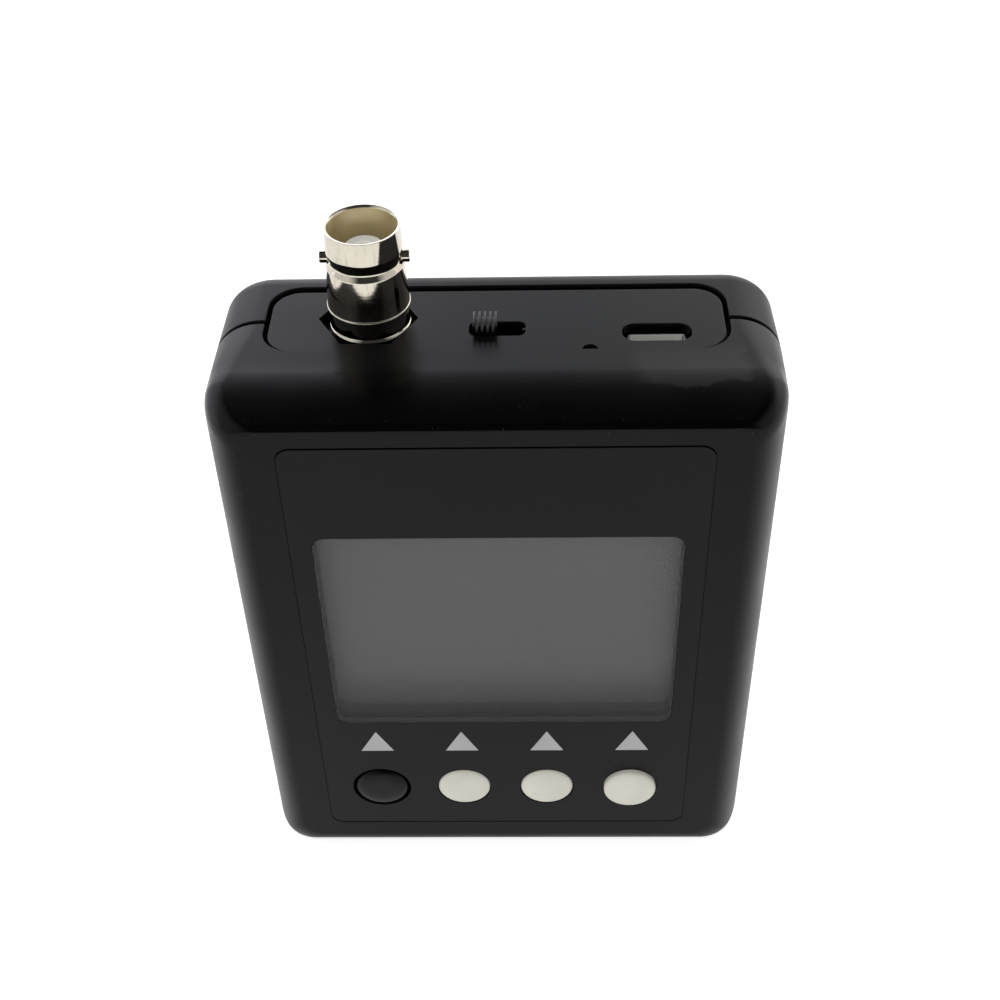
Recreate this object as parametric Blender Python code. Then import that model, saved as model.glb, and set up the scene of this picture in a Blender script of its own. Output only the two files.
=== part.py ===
"""Hand-held radio frequency counter, modelled as an assembly of separate parts.

Metres, +Z up. The case stands on its lower end, and the origin is on that end, at the middle of the
case's width and depth. The display and the buttons face -Y. The antenna jack, the power switch and the
charging socket are in the panel of the upper end.
"""
from math import cos, pi, sin, sqrt

import bmesh
import bpy
from mathutils import Matrix, Vector

# Fits
FIT = 0.0003              # clearance between neighbouring pieces
OVERRUN = 0.0010          # how far a cutter runs past what it cuts
SINK = 0.0005             # how far a rib or boss reaches into the wall that carries it

# Smoothness of curved surfaces, in counts
CORNER_STEPS = 6
EDGE_STEPS = 6
ROUND_SIDES = 32
SMALL_SIDES = 16
TURNED_SIDES = 40

# Depths, stacked from the front of the case to its back
DISPLAY_RECESS = 0.0040   # from the front of the case to the display's glass
GLASS_THICKNESS = 0.0011
BACKLIGHT_THICKNESS = 0.0009
BEZEL_FLOOR = 0.0004
HOLDER_THICKNESS = 0.0012
HOLDER_LEG_LENGTH = 0.00475
PART_SEAT = FIT           # solder gap under the parts of the board
BOARD_THICKNESS = 0.0016
JACK_BEHIND_BOARD = 0.00525
JACK_HOLE_FLATS = 0.0107
PANEL_BACK_EDGE = 0.0005  # rim of the panel behind the jack's pocket
PANEL_BACK_GAP = 0.0010
BACK_BAND = 0.00495       # end of the back shell behind the panel's opening

BOARD_DEPTH = (DISPLAY_RECESS + GLASS_THICKNESS + BACKLIGHT_THICKNESS + BEZEL_FLOOR + 3 * FIT
               + HOLDER_THICKNESS + HOLDER_LEG_LENGTH + PART_SEAT)
JACK_DEPTH = BOARD_DEPTH + BOARD_THICKNESS + JACK_BEHIND_BOARD
PANEL_BACK_DEPTH = JACK_DEPTH + JACK_HOLE_FLATS / 2 + PANEL_BACK_EDGE
CASE_DEPTH = PANEL_BACK_DEPTH + PANEL_BACK_GAP + BACK_BAND

# Widths, from the display window outwards
WINDOW_WIDTH = 0.0464
GLASS_SIDE_MARGIN = 0.0023
BEZEL_SIDE = 0.0024
BEZEL_TO_SIDE = 0.00785   # from the display's bezel to the side of the case
PANEL_SIDE_BAND = 0.0071  # end of the shells beside the panel's opening
PANEL_SIDE_GAP = 0.0006

GLASS_WIDTH = WINDOW_WIDTH + 2 * GLASS_SIDE_MARGIN
BEZEL_WIDTH = GLASS_WIDTH + 2 * (FIT + BEZEL_SIDE)
CASE_WIDTH = BEZEL_WIDTH + 2 * BEZEL_TO_SIDE  # across the sides at the parting line
PANEL_WIDTH = CASE_WIDTH - 2 * (PANEL_SIDE_BAND + PANEL_SIDE_GAP)

# Heights on the front, from the lower end up
LABEL_LOW_Z = 0.0066
LABEL_TO_BUTTON = 0.0081
BUTTON_TO_WINDOW = 0.01455
WINDOW_HEIGHT = 0.0355
WINDOW_TO_LABEL_TOP = 0.0144
LABEL_TO_TOP = 0.00435

BUTTON_Z = LABEL_LOW_Z + LABEL_TO_BUTTON
WINDOW_Z = BUTTON_Z + BUTTON_TO_WINDOW + WINDOW_HEIGHT / 2
LABEL_HIGH_Z = WINDOW_Z + WINDOW_HEIGHT / 2 + WINDOW_TO_LABEL_TOP
CASE_HEIGHT = LABEL_HIGH_Z + LABEL_TO_TOP

# Case
WALL = 0.0022
PARTING_BEHIND_BOARD = 0.00465
PARTING_GAP = 0.0005
LIP_THICKNESS = 0.0010    # lip of the front shell inside the back shell
LIP_HEIGHT = 0.0012
FRONT_DRAFT_SHARE = 0.08  # how much the sides draw in for each length away from the parting plane
BACK_DRAFT_SHARE = 0.05
PARTING_CORNER_RADIUS = 0.0065
FRONT_CORNER_RADIUS = 0.0029
BACK_CORNER_RADIUS = 0.0057
FRONT_SIDE_REACH = 0.0043 # roundings between the faces: reach along the face, depth behind it
FRONT_SIDE_DEPTH = 0.0079
FRONT_TOP_FALL = 0.00115  # the top end falls towards the front and ends in a small rounding
FRONT_TOP_DEPTH = 0.0096
FRONT_TOP_ROUND = 0.0007
FRONT_TOP_CURVE = 1.5     # power of the fall
FRONT_BASE_REACH = 0.0034
FRONT_BASE_DEPTH = 0.0034
BACK_SIDE_REACH = 0.0045
BACK_SIDE_DEPTH = 0.0045
BACK_END_REACH = 0.0042
BACK_END_DEPTH = 0.0042

FRONT_Y = -CASE_DEPTH / 2
BACK_Y = CASE_DEPTH / 2
INNER_FRONT_Y = FRONT_Y + WALL
INNER_BACK_Y = BACK_Y - WALL
INNER_TOP_Z = CASE_HEIGHT - WALL
BOARD_FRONT_Y = FRONT_Y + BOARD_DEPTH
BOARD_BACK_Y = BOARD_FRONT_Y + BOARD_THICKNESS
PARTING_Y = BOARD_BACK_Y + PARTING_BEHIND_BOARD  # plane between the front and the back shell

# Case screws, in the four corners
CASE_SCREW_INSET = 0.00855
CASE_SCREW_LOW_Z = 0.0096
CASE_SCREW_DROP = 0.0101  # upper screws below the top of the case
CASE_SCREW_RADIUS = 0.00125
CASE_SCREW_HEAD_RADIUS = 0.0021
CASE_SCREW_HEAD_HEIGHT = 0.0017
CASE_SCREW_GRIP = 0.0072  # how far the screw reaches into the front boss
SCREW_RECESS_DEPTH = 0.0075
BOSS_WALL = 0.0013
CROSS_WIDTH_SHARE = 0.22  # of the screw head's radius
CROSS_LENGTH_SHARE = 1.30
CROSS_DEPTH_SHARE = 0.5   # of the screw head's height

CASE_SCREW_X = CASE_WIDTH / 2 - CASE_SCREW_INSET
CASE_SCREW_HIGH_Z = CASE_HEIGHT - CASE_SCREW_DROP
SCREW_CLEARANCE_RADIUS = CASE_SCREW_RADIUS + FIT
SCREW_RECESS_RADIUS = CASE_SCREW_HEAD_RADIUS + FIT
BACK_POST_RADIUS = SCREW_RECESS_RADIUS + BOSS_WALL
FRONT_BOSS_RADIUS = SCREW_CLEARANCE_RADIUS + BOSS_WALL
POST_MEETING_Y = PARTING_Y - FIT / 2
SCREW_SEAT_Y = BACK_Y - SCREW_RECESS_DEPTH

# Front label
LABEL_SIDE_BORDER = 0.00255
LABEL_RADIUS = 0.0016
LABEL_THICKNESS = 0.00035
LABEL_SET_BACK = 0.00025

LABEL_WIDTH = WINDOW_WIDTH + 2 * LABEL_SIDE_BORDER
LABEL_FRONT_Y = FRONT_Y + LABEL_SET_BACK
LABEL_BACK_Y = LABEL_FRONT_Y + LABEL_THICKNESS
LABEL_FLOOR_Y = LABEL_BACK_Y + FIT

# Display window's clear pane and the shroud behind it
WINDOW_RADIUS = 0.0018
PANE_EDGE = 0.0008        # how far the pane reaches behind the label on each side
PANE_THICKNESS = 0.0008   # of its edge, behind the label
SHROUD_RIM = 0.0011

PANE_FRONT_Y = LABEL_FLOOR_Y
PANE_BACK_Y = PANE_FRONT_Y + PANE_THICKNESS
PANE_RADIUS = WINDOW_RADIUS + PANE_EDGE
POCKET_RADIUS = PANE_RADIUS + FIT
SHROUD_EDGE = PANE_EDGE + FIT + SHROUD_RIM
GLASS_FRONT_Y = FRONT_Y + DISPLAY_RECESS
SHROUD_END_Y = GLASS_FRONT_Y - FIT

# Display module
GLASS_END_MARGIN = 0.0009
BEZEL_END = 0.0020
HOLDER_INSET = 0.0020
HOLDER_LEG = 0.0030

GLASS_HEIGHT = WINDOW_HEIGHT + 2 * GLASS_END_MARGIN
GLASS_BACK_Y = GLASS_FRONT_Y + GLASS_THICKNESS
BACKLIGHT_FRONT_Y = GLASS_BACK_Y + FIT
BACKLIGHT_BACK_Y = BACKLIGHT_FRONT_Y + BACKLIGHT_THICKNESS
BEZEL_POCKET_Y = BACKLIGHT_BACK_Y + FIT
BEZEL_BACK_Y = BEZEL_POCKET_Y + BEZEL_FLOOR
BEZEL_HEIGHT = GLASS_HEIGHT + 2 * (FIT + BEZEL_END)

# Buttons
BUTTON_COUNT = 4
BUTTON_SIDE_MARGIN = 0.00775  # from the label's side to the middle of the nearest button
CAP_RADIUS = 0.00375
CAP_HOLE_CLEARANCE = 0.00045
CAP_PROUD = 0.00050
LAST_CAP_LIFT = 0.0006    # how much farther out the last cap stands
CAP_DOME = 0.0008
CAP_FLANGE = 0.0009       # how far the flange reaches past the cap
CAP_FLANGE_THICKNESS = 0.0008
PLUNGER_RADIUS = 0.00175
PLUNGER_DEPTH = 0.0010    # how far the plunger stands in its switch at rest
SWITCH_BORE_DEPTH = 0.0020
BUTTON_SWITCH_SIZE = 0.0060
BUTTON_SWITCH_HEIGHT = 0.00345

FRONT_PARTS_Y = BOARD_FRONT_Y - PART_SEAT
BACK_PARTS_Y = BOARD_BACK_Y + PART_SEAT
BUTTON_PITCH = (LABEL_WIDTH - 2 * BUTTON_SIDE_MARGIN) / (BUTTON_COUNT - 1)
BUTTON_HOLE_RADIUS = CAP_RADIUS + CAP_HOLE_CLEARANCE
CAP_FRONT_Y = FRONT_Y - CAP_PROUD
CAP_FLANGE_Y = INNER_FRONT_Y + FIT + LAST_CAP_LIFT
CAP_BACK_Y = CAP_FLANGE_Y + CAP_FLANGE_THICKNESS
BUTTON_SWITCH_FRONT_Y = FRONT_PARTS_Y - BUTTON_SWITCH_HEIGHT

# End panel
PANEL_RADIUS = 0.0036
PANEL_PLATE = 0.0018
PANEL_FRONT_GAP = FIT
FLANGE_EDGE = 0.0014      # how far the flange reaches under the shells
FLANGE_THICKNESS = 0.0012
PANEL_RIM = 0.0017

PANEL_FRONT_Y = BOARD_FRONT_Y
PANEL_BACK_Y = FRONT_Y + PANEL_BACK_DEPTH
PANEL_TOP_Z = CASE_HEIGHT
PANEL_UNDERSIDE_Z = PANEL_TOP_Z - PANEL_PLATE
FLANGE_TOP_Z = INNER_TOP_Z - FIT
FLANGE_LOW_Z = FLANGE_TOP_Z - FLANGE_THICKNESS

# Antenna jack, turned parts given by radius
JACK_INSET = 0.0126       # from the panel's side
JACK_HEIGHT = 0.01365     # above the top of the case
JACK_MOUTH_RADIUS = 0.00415
JACK_RIM_RADIUS = 0.00484
JACK_RIM_HEIGHT = 0.00045
JACK_RIM_CHAMFER = 0.0002
JACK_NECK_RADIUS = 0.0046 # just below the rim
JACK_SLEEVE_RADIUS = 0.00474
JACK_SLEEVE_LENGTH = 0.00315  # from the rim's top to the sleeve's widest place
JACK_WAIST_RADIUS = 0.00454
JACK_WAIST_DEPTH = 0.0046 # below the rim's top
JACK_SHOULDER_RADIUS = 0.00475
JACK_SHOULDER_DEPTH = 0.00575
JACK_BODY_RADIUS = 0.00510
JACK_BODY_DEPTH = 0.0108  # lower end of the cone, below the rim's top
JACK_RING_RADIUS = 0.00522
JACK_RING_HEIGHT = 0.0003
JACK_COLLAR_RADIUS = 0.0049
JACK_FLANGE_RADIUS = 0.00494
JACK_FLANGE_HEIGHT = 0.0006
JACK_STEM_RADIUS = 0.0044
JACK_MOUTH_DEPTH = 0.0087
JACK_HOLE_OFFSET = 0.00025  # the pocket's middle lies this far outside the jack's axis
JACK_HOLE_CORNERS = 0.01245
JACK_HOLE_DEPTH = 0.0015
JACK_PAD = 0.0080         # how far the thick part of the panel reaches past the jack's axis
JACK_NUT = 0.0127         # across the flats
WASHER_EDGE = 0.0018      # how far the washer reaches past the hole for the stem
WASHER_THICKNESS = 0.0006
WASHER_TEETH = 12
TOOTH_SHARE = 0.09        # of the washer's radius
TAG_EDGE = 0.0015
TAG_THICKNESS = 0.0006
TAG_WIDTH = 0.0020
NUT_HEIGHT = 0.0025
NUT_EDGE_STEPS = 4
STEM_BELOW_NUT = 0.0015
LUG_SPAN = 0.0110
LUG_RADIUS = 0.00078
LUG_DEPTH = 0.00445       # below the rim
INSULATOR_RADIUS = 0.0024
INSULATOR_DEPTH = 0.0030  # below the rim
INSULATOR_TAIL = 0.0008   # below the stem
CONTACT_RADIUS = 0.00065
CONTACT_DEPTH = 0.0040    # below the rim
CONTACT_TAIL = 0.0030     # below the insulator

JACK_X = JACK_INSET - PANEL_WIDTH / 2
JACK_Y = FRONT_Y + JACK_DEPTH
JACK_HOLE_X = JACK_X - JACK_HOLE_OFFSET
JACK_TOP_Z = CASE_HEIGHT + JACK_HEIGHT
JACK_SEAT_Z = PANEL_TOP_Z - JACK_HOLE_DEPTH
JACK_FLANGE_LOW_Z = JACK_SEAT_Z + FIT
WASHER_TOP_Z = FLANGE_LOW_Z - FIT
WASHER_LOW_Z = WASHER_TOP_Z - WASHER_THICKNESS
TAG_TOP_Z = WASHER_LOW_Z - FIT
TAG_LOW_Z = TAG_TOP_Z - TAG_THICKNESS
NUT_TOP_Z = TAG_LOW_Z - FIT
NUT_LOW_Z = NUT_TOP_Z - NUT_HEIGHT
STEM_LOW_Z = NUT_LOW_Z - STEM_BELOW_NUT
STEM_HOLE_RADIUS = JACK_STEM_RADIUS + FIT
INSULATOR_BORE_RADIUS = INSULATOR_RADIUS + FIT
INSULATOR_LOW_Z = STEM_LOW_Z - INSULATOR_TAIL
CONTACT_LOW_Z = INSULATOR_LOW_Z - CONTACT_TAIL
NUT_CORNER_RADIUS = JACK_NUT / sqrt(3)

# Main board
BOARD_LOW_Z = 0.0052
BOARD_EDGE_CLEARANCE = 0.00045  # between the board and the bosses of the case screws
BOARD_SCREW_RADIUS = 0.00075
BOARD_SCREW_HEAD_RADIUS = 0.0017
BOARD_SCREW_HEAD_HEIGHT = 0.0012
BOARD_SCREW_GRIP = 0.0045
STANDOFF_WALL = 0.0011
LOW_SCREW_INSET = 0.0029  # screws of the board, from its edges
LOW_SCREW_RISE = 0.0027
RIGHT_SCREW_INSET = 0.0037
RIGHT_SCREW_DROP = 0.0067
MIDDLE_SCREW_TO_JACK = 0.01235
MIDDLE_SCREW_DROP = 0.0073
NOTCH_CLEARANCE = 0.0014  # between the jack's nut and the board's notch

BOARD_WIDTH = 2 * (CASE_SCREW_X - FRONT_BOSS_RADIUS - BOARD_EDGE_CLEARANCE)
BOARD_HIGH_Z = FLANGE_LOW_Z - 2 * FIT
BOARD_HOLE_RADIUS = BOARD_SCREW_RADIUS + FIT
STANDOFF_RADIUS = BOARD_HOLE_RADIUS + STANDOFF_WALL
NOTCH_RIGHT_X = JACK_X + NUT_CORNER_RADIUS + NOTCH_CLEARANCE
NOTCH_LOW_Z = INSULATOR_LOW_Z - NOTCH_CLEARANCE
LOW_SCREW_X = BOARD_WIDTH / 2 - LOW_SCREW_INSET
LOW_SCREW_Z = BOARD_LOW_Z + LOW_SCREW_RISE
RIGHT_SCREW_X = BOARD_WIDTH / 2 - RIGHT_SCREW_INSET
RIGHT_SCREW_Z = BOARD_HIGH_Z - RIGHT_SCREW_DROP
MIDDLE_SCREW_X = JACK_X + MIDDLE_SCREW_TO_JACK
MIDDLE_SCREW_Z = BOARD_HIGH_Z - MIDDLE_SCREW_DROP

# Power switch
SWITCH_X = 0.00016        # middle of the slot
SLOT_LENGTH = 0.0070
SLOT_WIDTH = 0.0029
KNOB_TRAVEL = 0.0030
KNOB_REST_SHARE = -0.50   # the knob's rest place from the middle, of the travel
KNOB_WIDTH = 0.0030
KNOB_DEPTH = 0.0036
KNOB_HEIGHT = 0.0015
KNOB_RIDGES = 5
RIDGE_HEIGHT = 0.0003
RIDGE_SHARE = 0.5         # of the ridges' pitch
STEM_WIDTH = 0.0026
STEM_DEPTH = 0.0023
STEM_IN_BODY = 0.0022
SWITCH_BODY_LENGTH = 0.0090
SWITCH_BODY_DEPTH = 0.0049
SWITCH_BODY_HEIGHT = 0.0047
SWITCH_PIN_WIDTH = 0.0006
SWITCH_PIN_LENGTH = 0.0018
SWITCH_PIN_COUNT = 3
SWITCH_PIN_PITCH = 0.0025

SWITCH_Y = BACK_PARTS_Y + SWITCH_BODY_DEPTH / 2
SWITCH_BODY_TOP_Z = PANEL_UNDERSIDE_Z - 2 * FIT
SWITCH_BODY_LOW_Z = SWITCH_BODY_TOP_Z - SWITCH_BODY_HEIGHT
KNOB_LOW_Z = PANEL_TOP_Z + FIT
KNOB_X = SWITCH_X + KNOB_REST_SHARE * KNOB_TRAVEL

# Charging socket
USB_INSET = 0.00855       # from the panel's side
USB_WIDTH = 0.0075
USB_NARROW_WIDTH = 0.0060
USB_DEPTH = 0.0029
USB_LENGTH = 0.0056
USB_SHEET = 0.0003
USB_CHAMFER = 0.0011
USB_CORNER_RADIUS = 0.0012
USB_SET_BACK = 0.00085    # below the top of the panel
USB_OPENING_GAP = 0.00055 # between the shell and the panel's opening
USB_FLOOR = 0.0010
TONGUE_WIDTH = 0.0037
TONGUE_THICKNESS = 0.0006
TONGUE_SET_BACK = 0.0009

USB_X = PANEL_WIDTH / 2 - USB_INSET
USB_Y = BACK_PARTS_Y + USB_DEPTH / 2
USB_TOP_Z = PANEL_TOP_Z - USB_SET_BACK
USB_LOW_Z = USB_TOP_Z - USB_LENGTH

# Charge lamp
LAMP_TO_USB = 0.0083
LAMP_HOLE_RADIUS = 0.00095
LAMP_WIDTH = 0.0016
LAMP_LENGTH = 0.0012
LAMP_HEIGHT = 0.0007

LAMP_X = USB_X - LAMP_TO_USB

# Parts of the board: place of the middle from the board's edges, size along the board, and height above it
CAN_INSET = 0.0092
CAN_DROP = 0.0262
CAN_WIDTH = 0.0160
CAN_LENGTH = 0.0150
CAN_HEIGHT = 0.0029
CAN_SHEET = 0.0003
COUNTER_CHIP_SIZE = 0.0050
COUNTER_CHIP_HEIGHT = 0.0012
PROCESSOR_X = -0.0060
PROCESSOR_SIZE = 0.0100
PROCESSOR_HEIGHT = 0.0014
OSCILLATOR_X = 0.0015
OSCILLATOR_DROP = 0.0152
OSCILLATOR_WIDTH = 0.0070
OSCILLATOR_LENGTH = 0.0050
OSCILLATOR_HEIGHT = 0.0018
CHARGER_INSET = 0.0047
CHARGER_DROP = 0.0134
CHARGER_WIDTH = 0.0050
CHARGER_LENGTH = 0.0040
CHARGER_HEIGHT = 0.0015
INDUCTOR_INSET = 0.0052
INDUCTOR_DROP = 0.0204
INDUCTOR_SIZE = 0.0050
INDUCTOR_HEIGHT = 0.0025
CAPACITOR_X = 0.0090
CAPACITOR_DROP = 0.0232
CAPACITOR_WIDTH = 0.0016
CAPACITOR_LENGTH = 0.0030
CAPACITOR_HEIGHT = 0.0012
CAPACITOR_COUNT = 2
CAPACITOR_PITCH = 0.0060

CAN_X = CAN_INSET - BOARD_WIDTH / 2
CAN_Z = BOARD_HIGH_Z - CAN_DROP
CHARGER_X = BOARD_WIDTH / 2 - CHARGER_INSET
INDUCTOR_X = BOARD_WIDTH / 2 - INDUCTOR_INSET

# Display ribbon
RIBBON_WIDTH = 0.0160
RIBBON_THICKNESS = 0.0003
RIBBON_RUN = 0.0006       # straight part beside the bezel
RIBBON_STEPS = 8
RIBBON_SOCKET_WIDTH = 0.0036
RIBBON_SOCKET_HEIGHT = 0.0012
RIBBON_Y = BEZEL_BACK_Y - BEZEL_FLOOR - RIBBON_THICKNESS

# Battery
BATTERY_WIDTH = 0.0340
BATTERY_THICKNESS = 0.0080
BATTERY_LOW_Z = 0.0106
BATTERY_HEADROOM = 0.0093 # between the battery and the jack's contact
BATTERY_RADIUS = 0.0030
PAD_THICKNESS = 0.0010
PAD_SHARE = 0.8           # of the battery's width and length
RIB_THICKNESS = 0.0012
RIB_HEIGHT = 0.0048
SIDE_RIB_SHARE = 0.9      # of the battery's length
END_RIB_SHARE = 0.4       # of the battery's width
PLUG_X = 0.0100
PLUG_WIDTH = 0.0060
PLUG_DEPTH = 0.0024
PLUG_LENGTH = 0.0024
SOCKET_EDGE = 0.0009
SOCKET_LENGTH = 0.0046
SOCKET_ABOVE_BATTERY = 0.0062
LEAD_DIAMETER = 0.0010
LEAD_SPACING = 0.0022
LEAD_SAG = 0.0014         # how far the leads dip or rise between the plug and the battery
LEAD_SIDES = 2
LEAD_POINTS = 14

PAD_BACK_Y = INNER_BACK_Y - FIT
PAD_FRONT_Y = PAD_BACK_Y - PAD_THICKNESS
BATTERY_BACK_Y = PAD_FRONT_Y - FIT
BATTERY_FRONT_Y = BATTERY_BACK_Y - BATTERY_THICKNESS
BATTERY_TOP_Z = CONTACT_LOW_Z - BATTERY_HEADROOM
BATTERY_LENGTH = BATTERY_TOP_Z - BATTERY_LOW_Z
BATTERY_Z = BATTERY_LOW_Z + BATTERY_LENGTH / 2
SOCKET_LOW_Z = BATTERY_TOP_Z + SOCKET_ABOVE_BATTERY
PLUG_HIGH_Z = SOCKET_LOW_Z - FIT
PLUG_LOW_Z = PLUG_HIGH_Z - PLUG_LENGTH

# Colours, linear
BLACK_PLASTIC = (0.018, 0.018, 0.019)
PANEL_PLASTIC = (0.030, 0.030, 0.032)
LABEL_BLACK = (0.016, 0.016, 0.017)
OFF_WHITE = (0.60, 0.60, 0.54)
NICKEL = (0.62, 0.58, 0.50)
STEEL = (0.45, 0.45, 0.46)
CONTACT_GOLD = (0.75, 0.55, 0.22)
TIN = (0.60, 0.60, 0.60)
BOARD_GREEN = (0.02, 0.12, 0.05)
CHIP_BLACK = (0.012, 0.012, 0.013)
WHITE_PLASTIC = (0.75, 0.75, 0.72)
GLASS_GREY = (0.10, 0.10, 0.105)
CLEAR = (0.80, 0.82, 0.82)
FILM_AMBER = (0.35, 0.16, 0.03)
BATTERY_BLUE = (0.03, 0.10, 0.35)
FOAM_GREY = (0.10, 0.10, 0.10)
LEAD_RED = (0.45, 0.02, 0.02)
LAMP_WHITE = (0.80, 0.78, 0.60)


def clear_scene():
    """Remove every object, so that the file can be run again."""
    for item in list(bpy.data.objects):
        bpy.data.objects.remove(item, do_unlink=True)


def make_material(name, colour, roughness, metallic=0.0, alpha=1.0):
    """A Principled material of one colour."""
    material = bpy.data.materials.new(name)
    material.use_nodes = True
    shader = material.node_tree.nodes["Principled BSDF"]
    shader.inputs["Base Color"].default_value = (*colour, 1.0)
    shader.inputs["Roughness"].default_value = roughness
    shader.inputs["Metallic"].default_value = metallic
    shader.inputs["Alpha"].default_value = alpha
    return material


def make_object(name, bm, finish=None, smooth=False):
    """Turn a bmesh in world coordinates into an object, with its material if it is a part."""
    bmesh.ops.recalc_face_normals(bm, faces=bm.faces)
    mesh = bpy.data.meshes.new(name)
    bm.to_mesh(mesh)
    bm.free()
    item = bpy.data.objects.new(name, mesh)
    bpy.context.collection.objects.link(item)
    if finish:
        mesh.materials.append(make_material(name, *finish))
    if smooth:
        mesh.shade_smooth()
        mesh.set_sharp_from_angle(angle=pi / 6)
    return item


def set_origin(item, origin):
    """Move an object's origin without moving its shape."""
    item.data.transform(Matrix.Translation(-Vector(origin)))
    item.location = origin


def attach(child, parent):
    """Parent an object to another without moving it."""
    child.parent = parent
    child.matrix_parent_inverse = Matrix.Translation(-parent.location)


def use_tool(target, tool, operation):
    """Apply a hidden tool object to a part by a Boolean modifier."""
    tool.hide_render = True
    tool.display_type = "WIRE"
    boolean = target.modifiers.new(tool.name, "BOOLEAN")
    boolean.operation = operation
    boolean.solver = "EXACT"
    boolean.object = tool


def cut(target, name, bm):
    """Cut a shape out of a part."""
    use_tool(target, make_object("cut_" + name, bm), "DIFFERENCE")


def join(target, name, bm):
    """Join a shape to a part as one body."""
    use_tool(target, make_object("add_" + name, bm), "UNION")


def add_rings(bm, rings, closed=False):
    """Skin rings of equal length with faces, and cap the ends unless the rings meet round a loop."""
    loops = [[bm.verts.new(point) for point in ring] for ring in rings]
    pairs = list(zip(loops, loops[1:]))
    if closed:
        pairs.append((loops[-1], loops[0]))
    for lower, upper in pairs:
        for index in range(len(lower)):
            following = (index + 1) % len(lower)
            bm.faces.new((lower[index], lower[following], upper[following], upper[index]))
    if not closed:
        bm.faces.new(reversed(loops[0]))
        bm.faces.new(loops[-1])


def add_prism(bm, outline, axis, low, high):
    """Extrude an outline along an axis. The outline's two values are the other two axes, in order."""
    def place(point, height):
        values = list(point)
        values.insert("XYZ".index(axis), height)
        return values
    add_rings(bm, [[place(point, height) for point in outline] for height in (low, high)])


def prism(outline, axis, low, high):
    """A new bmesh with one extruded outline."""
    bm = bmesh.new()
    add_prism(bm, outline, axis, low, high)
    return bm


def rectangle(low, high, radius=0, steps=CORNER_STEPS):
    """Points round a rectangle with rounded corners, given by two opposite corners."""
    if not radius:
        return [(low[0], low[1]), (high[0], low[1]), (high[0], high[1]), (low[0], high[1])]
    centres = ((high[0] - radius, high[1] - radius, 0), (low[0] + radius, high[1] - radius, 1),
               (low[0] + radius, low[1] + radius, 2), (high[0] - radius, low[1] + radius, 3))
    points = []
    for centre_a, centre_b, quarter in centres:
        for step in range(steps + 1):
            angle = (quarter + step / steps) * pi / 2
            points.append((centre_a + radius * cos(angle), centre_b + radius * sin(angle)))
    return points


def centred(centre, size, radius=0):
    """A rounded rectangle given by its middle and its two sizes."""
    low = [middle - extent / 2 for middle, extent in zip(centre, size)]
    high = [middle + extent / 2 for middle, extent in zip(centre, size)]
    return rectangle(low, high, radius)


def circle(centre, radius, sides=ROUND_SIDES, start=0.0):
    """Points round a circle or a regular polygon."""
    angles = [start + 2 * pi * side / sides for side in range(sides)]
    return [(centre[0] + radius * cos(angle), centre[1] + radius * sin(angle)) for angle in angles]


def add_box(bm, low, high):
    """A box given by two opposite corners."""
    add_prism(bm, rectangle(low[:2], high[:2]), "Z", low[2], high[2])


def box(low, high):
    """A new bmesh with one box."""
    bm = bmesh.new()
    add_box(bm, low, high)
    return bm


def add_turned(bm, profile, centre, axis, sides=TURNED_SIDES, closed=False):
    """Turn a profile of (radius, height) about an axis through a centre."""
    rings = []
    for radius, height in profile:
        ring = []
        for point in circle(centre, radius, sides):
            values = list(point)
            values.insert("XYZ".index(axis), height)
            ring.append(values)
        rings.append(ring)
    add_rings(bm, rings, closed)


def turned(profile, centre, axis, sides=TURNED_SIDES, closed=False):
    """A new bmesh with one turned solid."""
    bm = bmesh.new()
    add_turned(bm, profile, centre, axis, sides, closed)
    return bm


def edge_inset(reach, depth, distance):
    """How far an elliptical edge is still drawn in, at a distance behind its face."""
    share = min(max(distance / depth, 0), 1)
    return reach * (1 - sqrt(1 - (1 - share) ** 2))


def front_top_inset(y, inset):
    """How far the top end lies below its height near the front, drawn in from its surface by inset."""
    behind = y - FRONT_Y
    fall = FRONT_TOP_FALL * (1 - min(behind / FRONT_TOP_DEPTH, 1)) ** FRONT_TOP_CURVE
    if inset < FRONT_TOP_ROUND:
        rounding = FRONT_TOP_ROUND - inset
        fall += edge_inset(rounding, rounding, behind - inset)
    return fall


def case_ring(y, inset):
    """Points round the case at a depth y, drawn in from its surface by inset."""
    front = y - FRONT_Y - inset
    back = BACK_Y - inset - y
    side = inset + edge_inset(FRONT_SIDE_REACH - inset, FRONT_SIDE_DEPTH - inset, front)
    side += edge_inset(BACK_SIDE_REACH - inset, BACK_SIDE_DEPTH - inset, back)
    end = inset + edge_inset(BACK_END_REACH - inset, BACK_END_DEPTH - inset, back)
    top = end + front_top_inset(y, inset)
    base = end + edge_inset(FRONT_BASE_REACH - inset, FRONT_BASE_DEPTH - inset, front)
    if y < PARTING_Y:
        draft = FRONT_DRAFT_SHARE * (PARTING_Y - y)
        share = (PARTING_Y - y) / (PARTING_Y - FRONT_Y - FRONT_SIDE_DEPTH)
        end_radius = FRONT_CORNER_RADIUS
    else:
        draft = BACK_DRAFT_SHARE * (y - PARTING_Y)
        share = (y - PARTING_Y) / (BACK_Y - BACK_SIDE_DEPTH - PARTING_Y)
        end_radius = BACK_CORNER_RADIUS
    radius = PARTING_CORNER_RADIUS + (end_radius - PARTING_CORNER_RADIUS) * min(share, 1) - inset
    half_width = CASE_WIDTH / 2 - side - draft
    outline = rectangle((-half_width, base), (half_width, CASE_HEIGHT - top), radius)
    return [(x, y, z) for x, z in outline]


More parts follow.
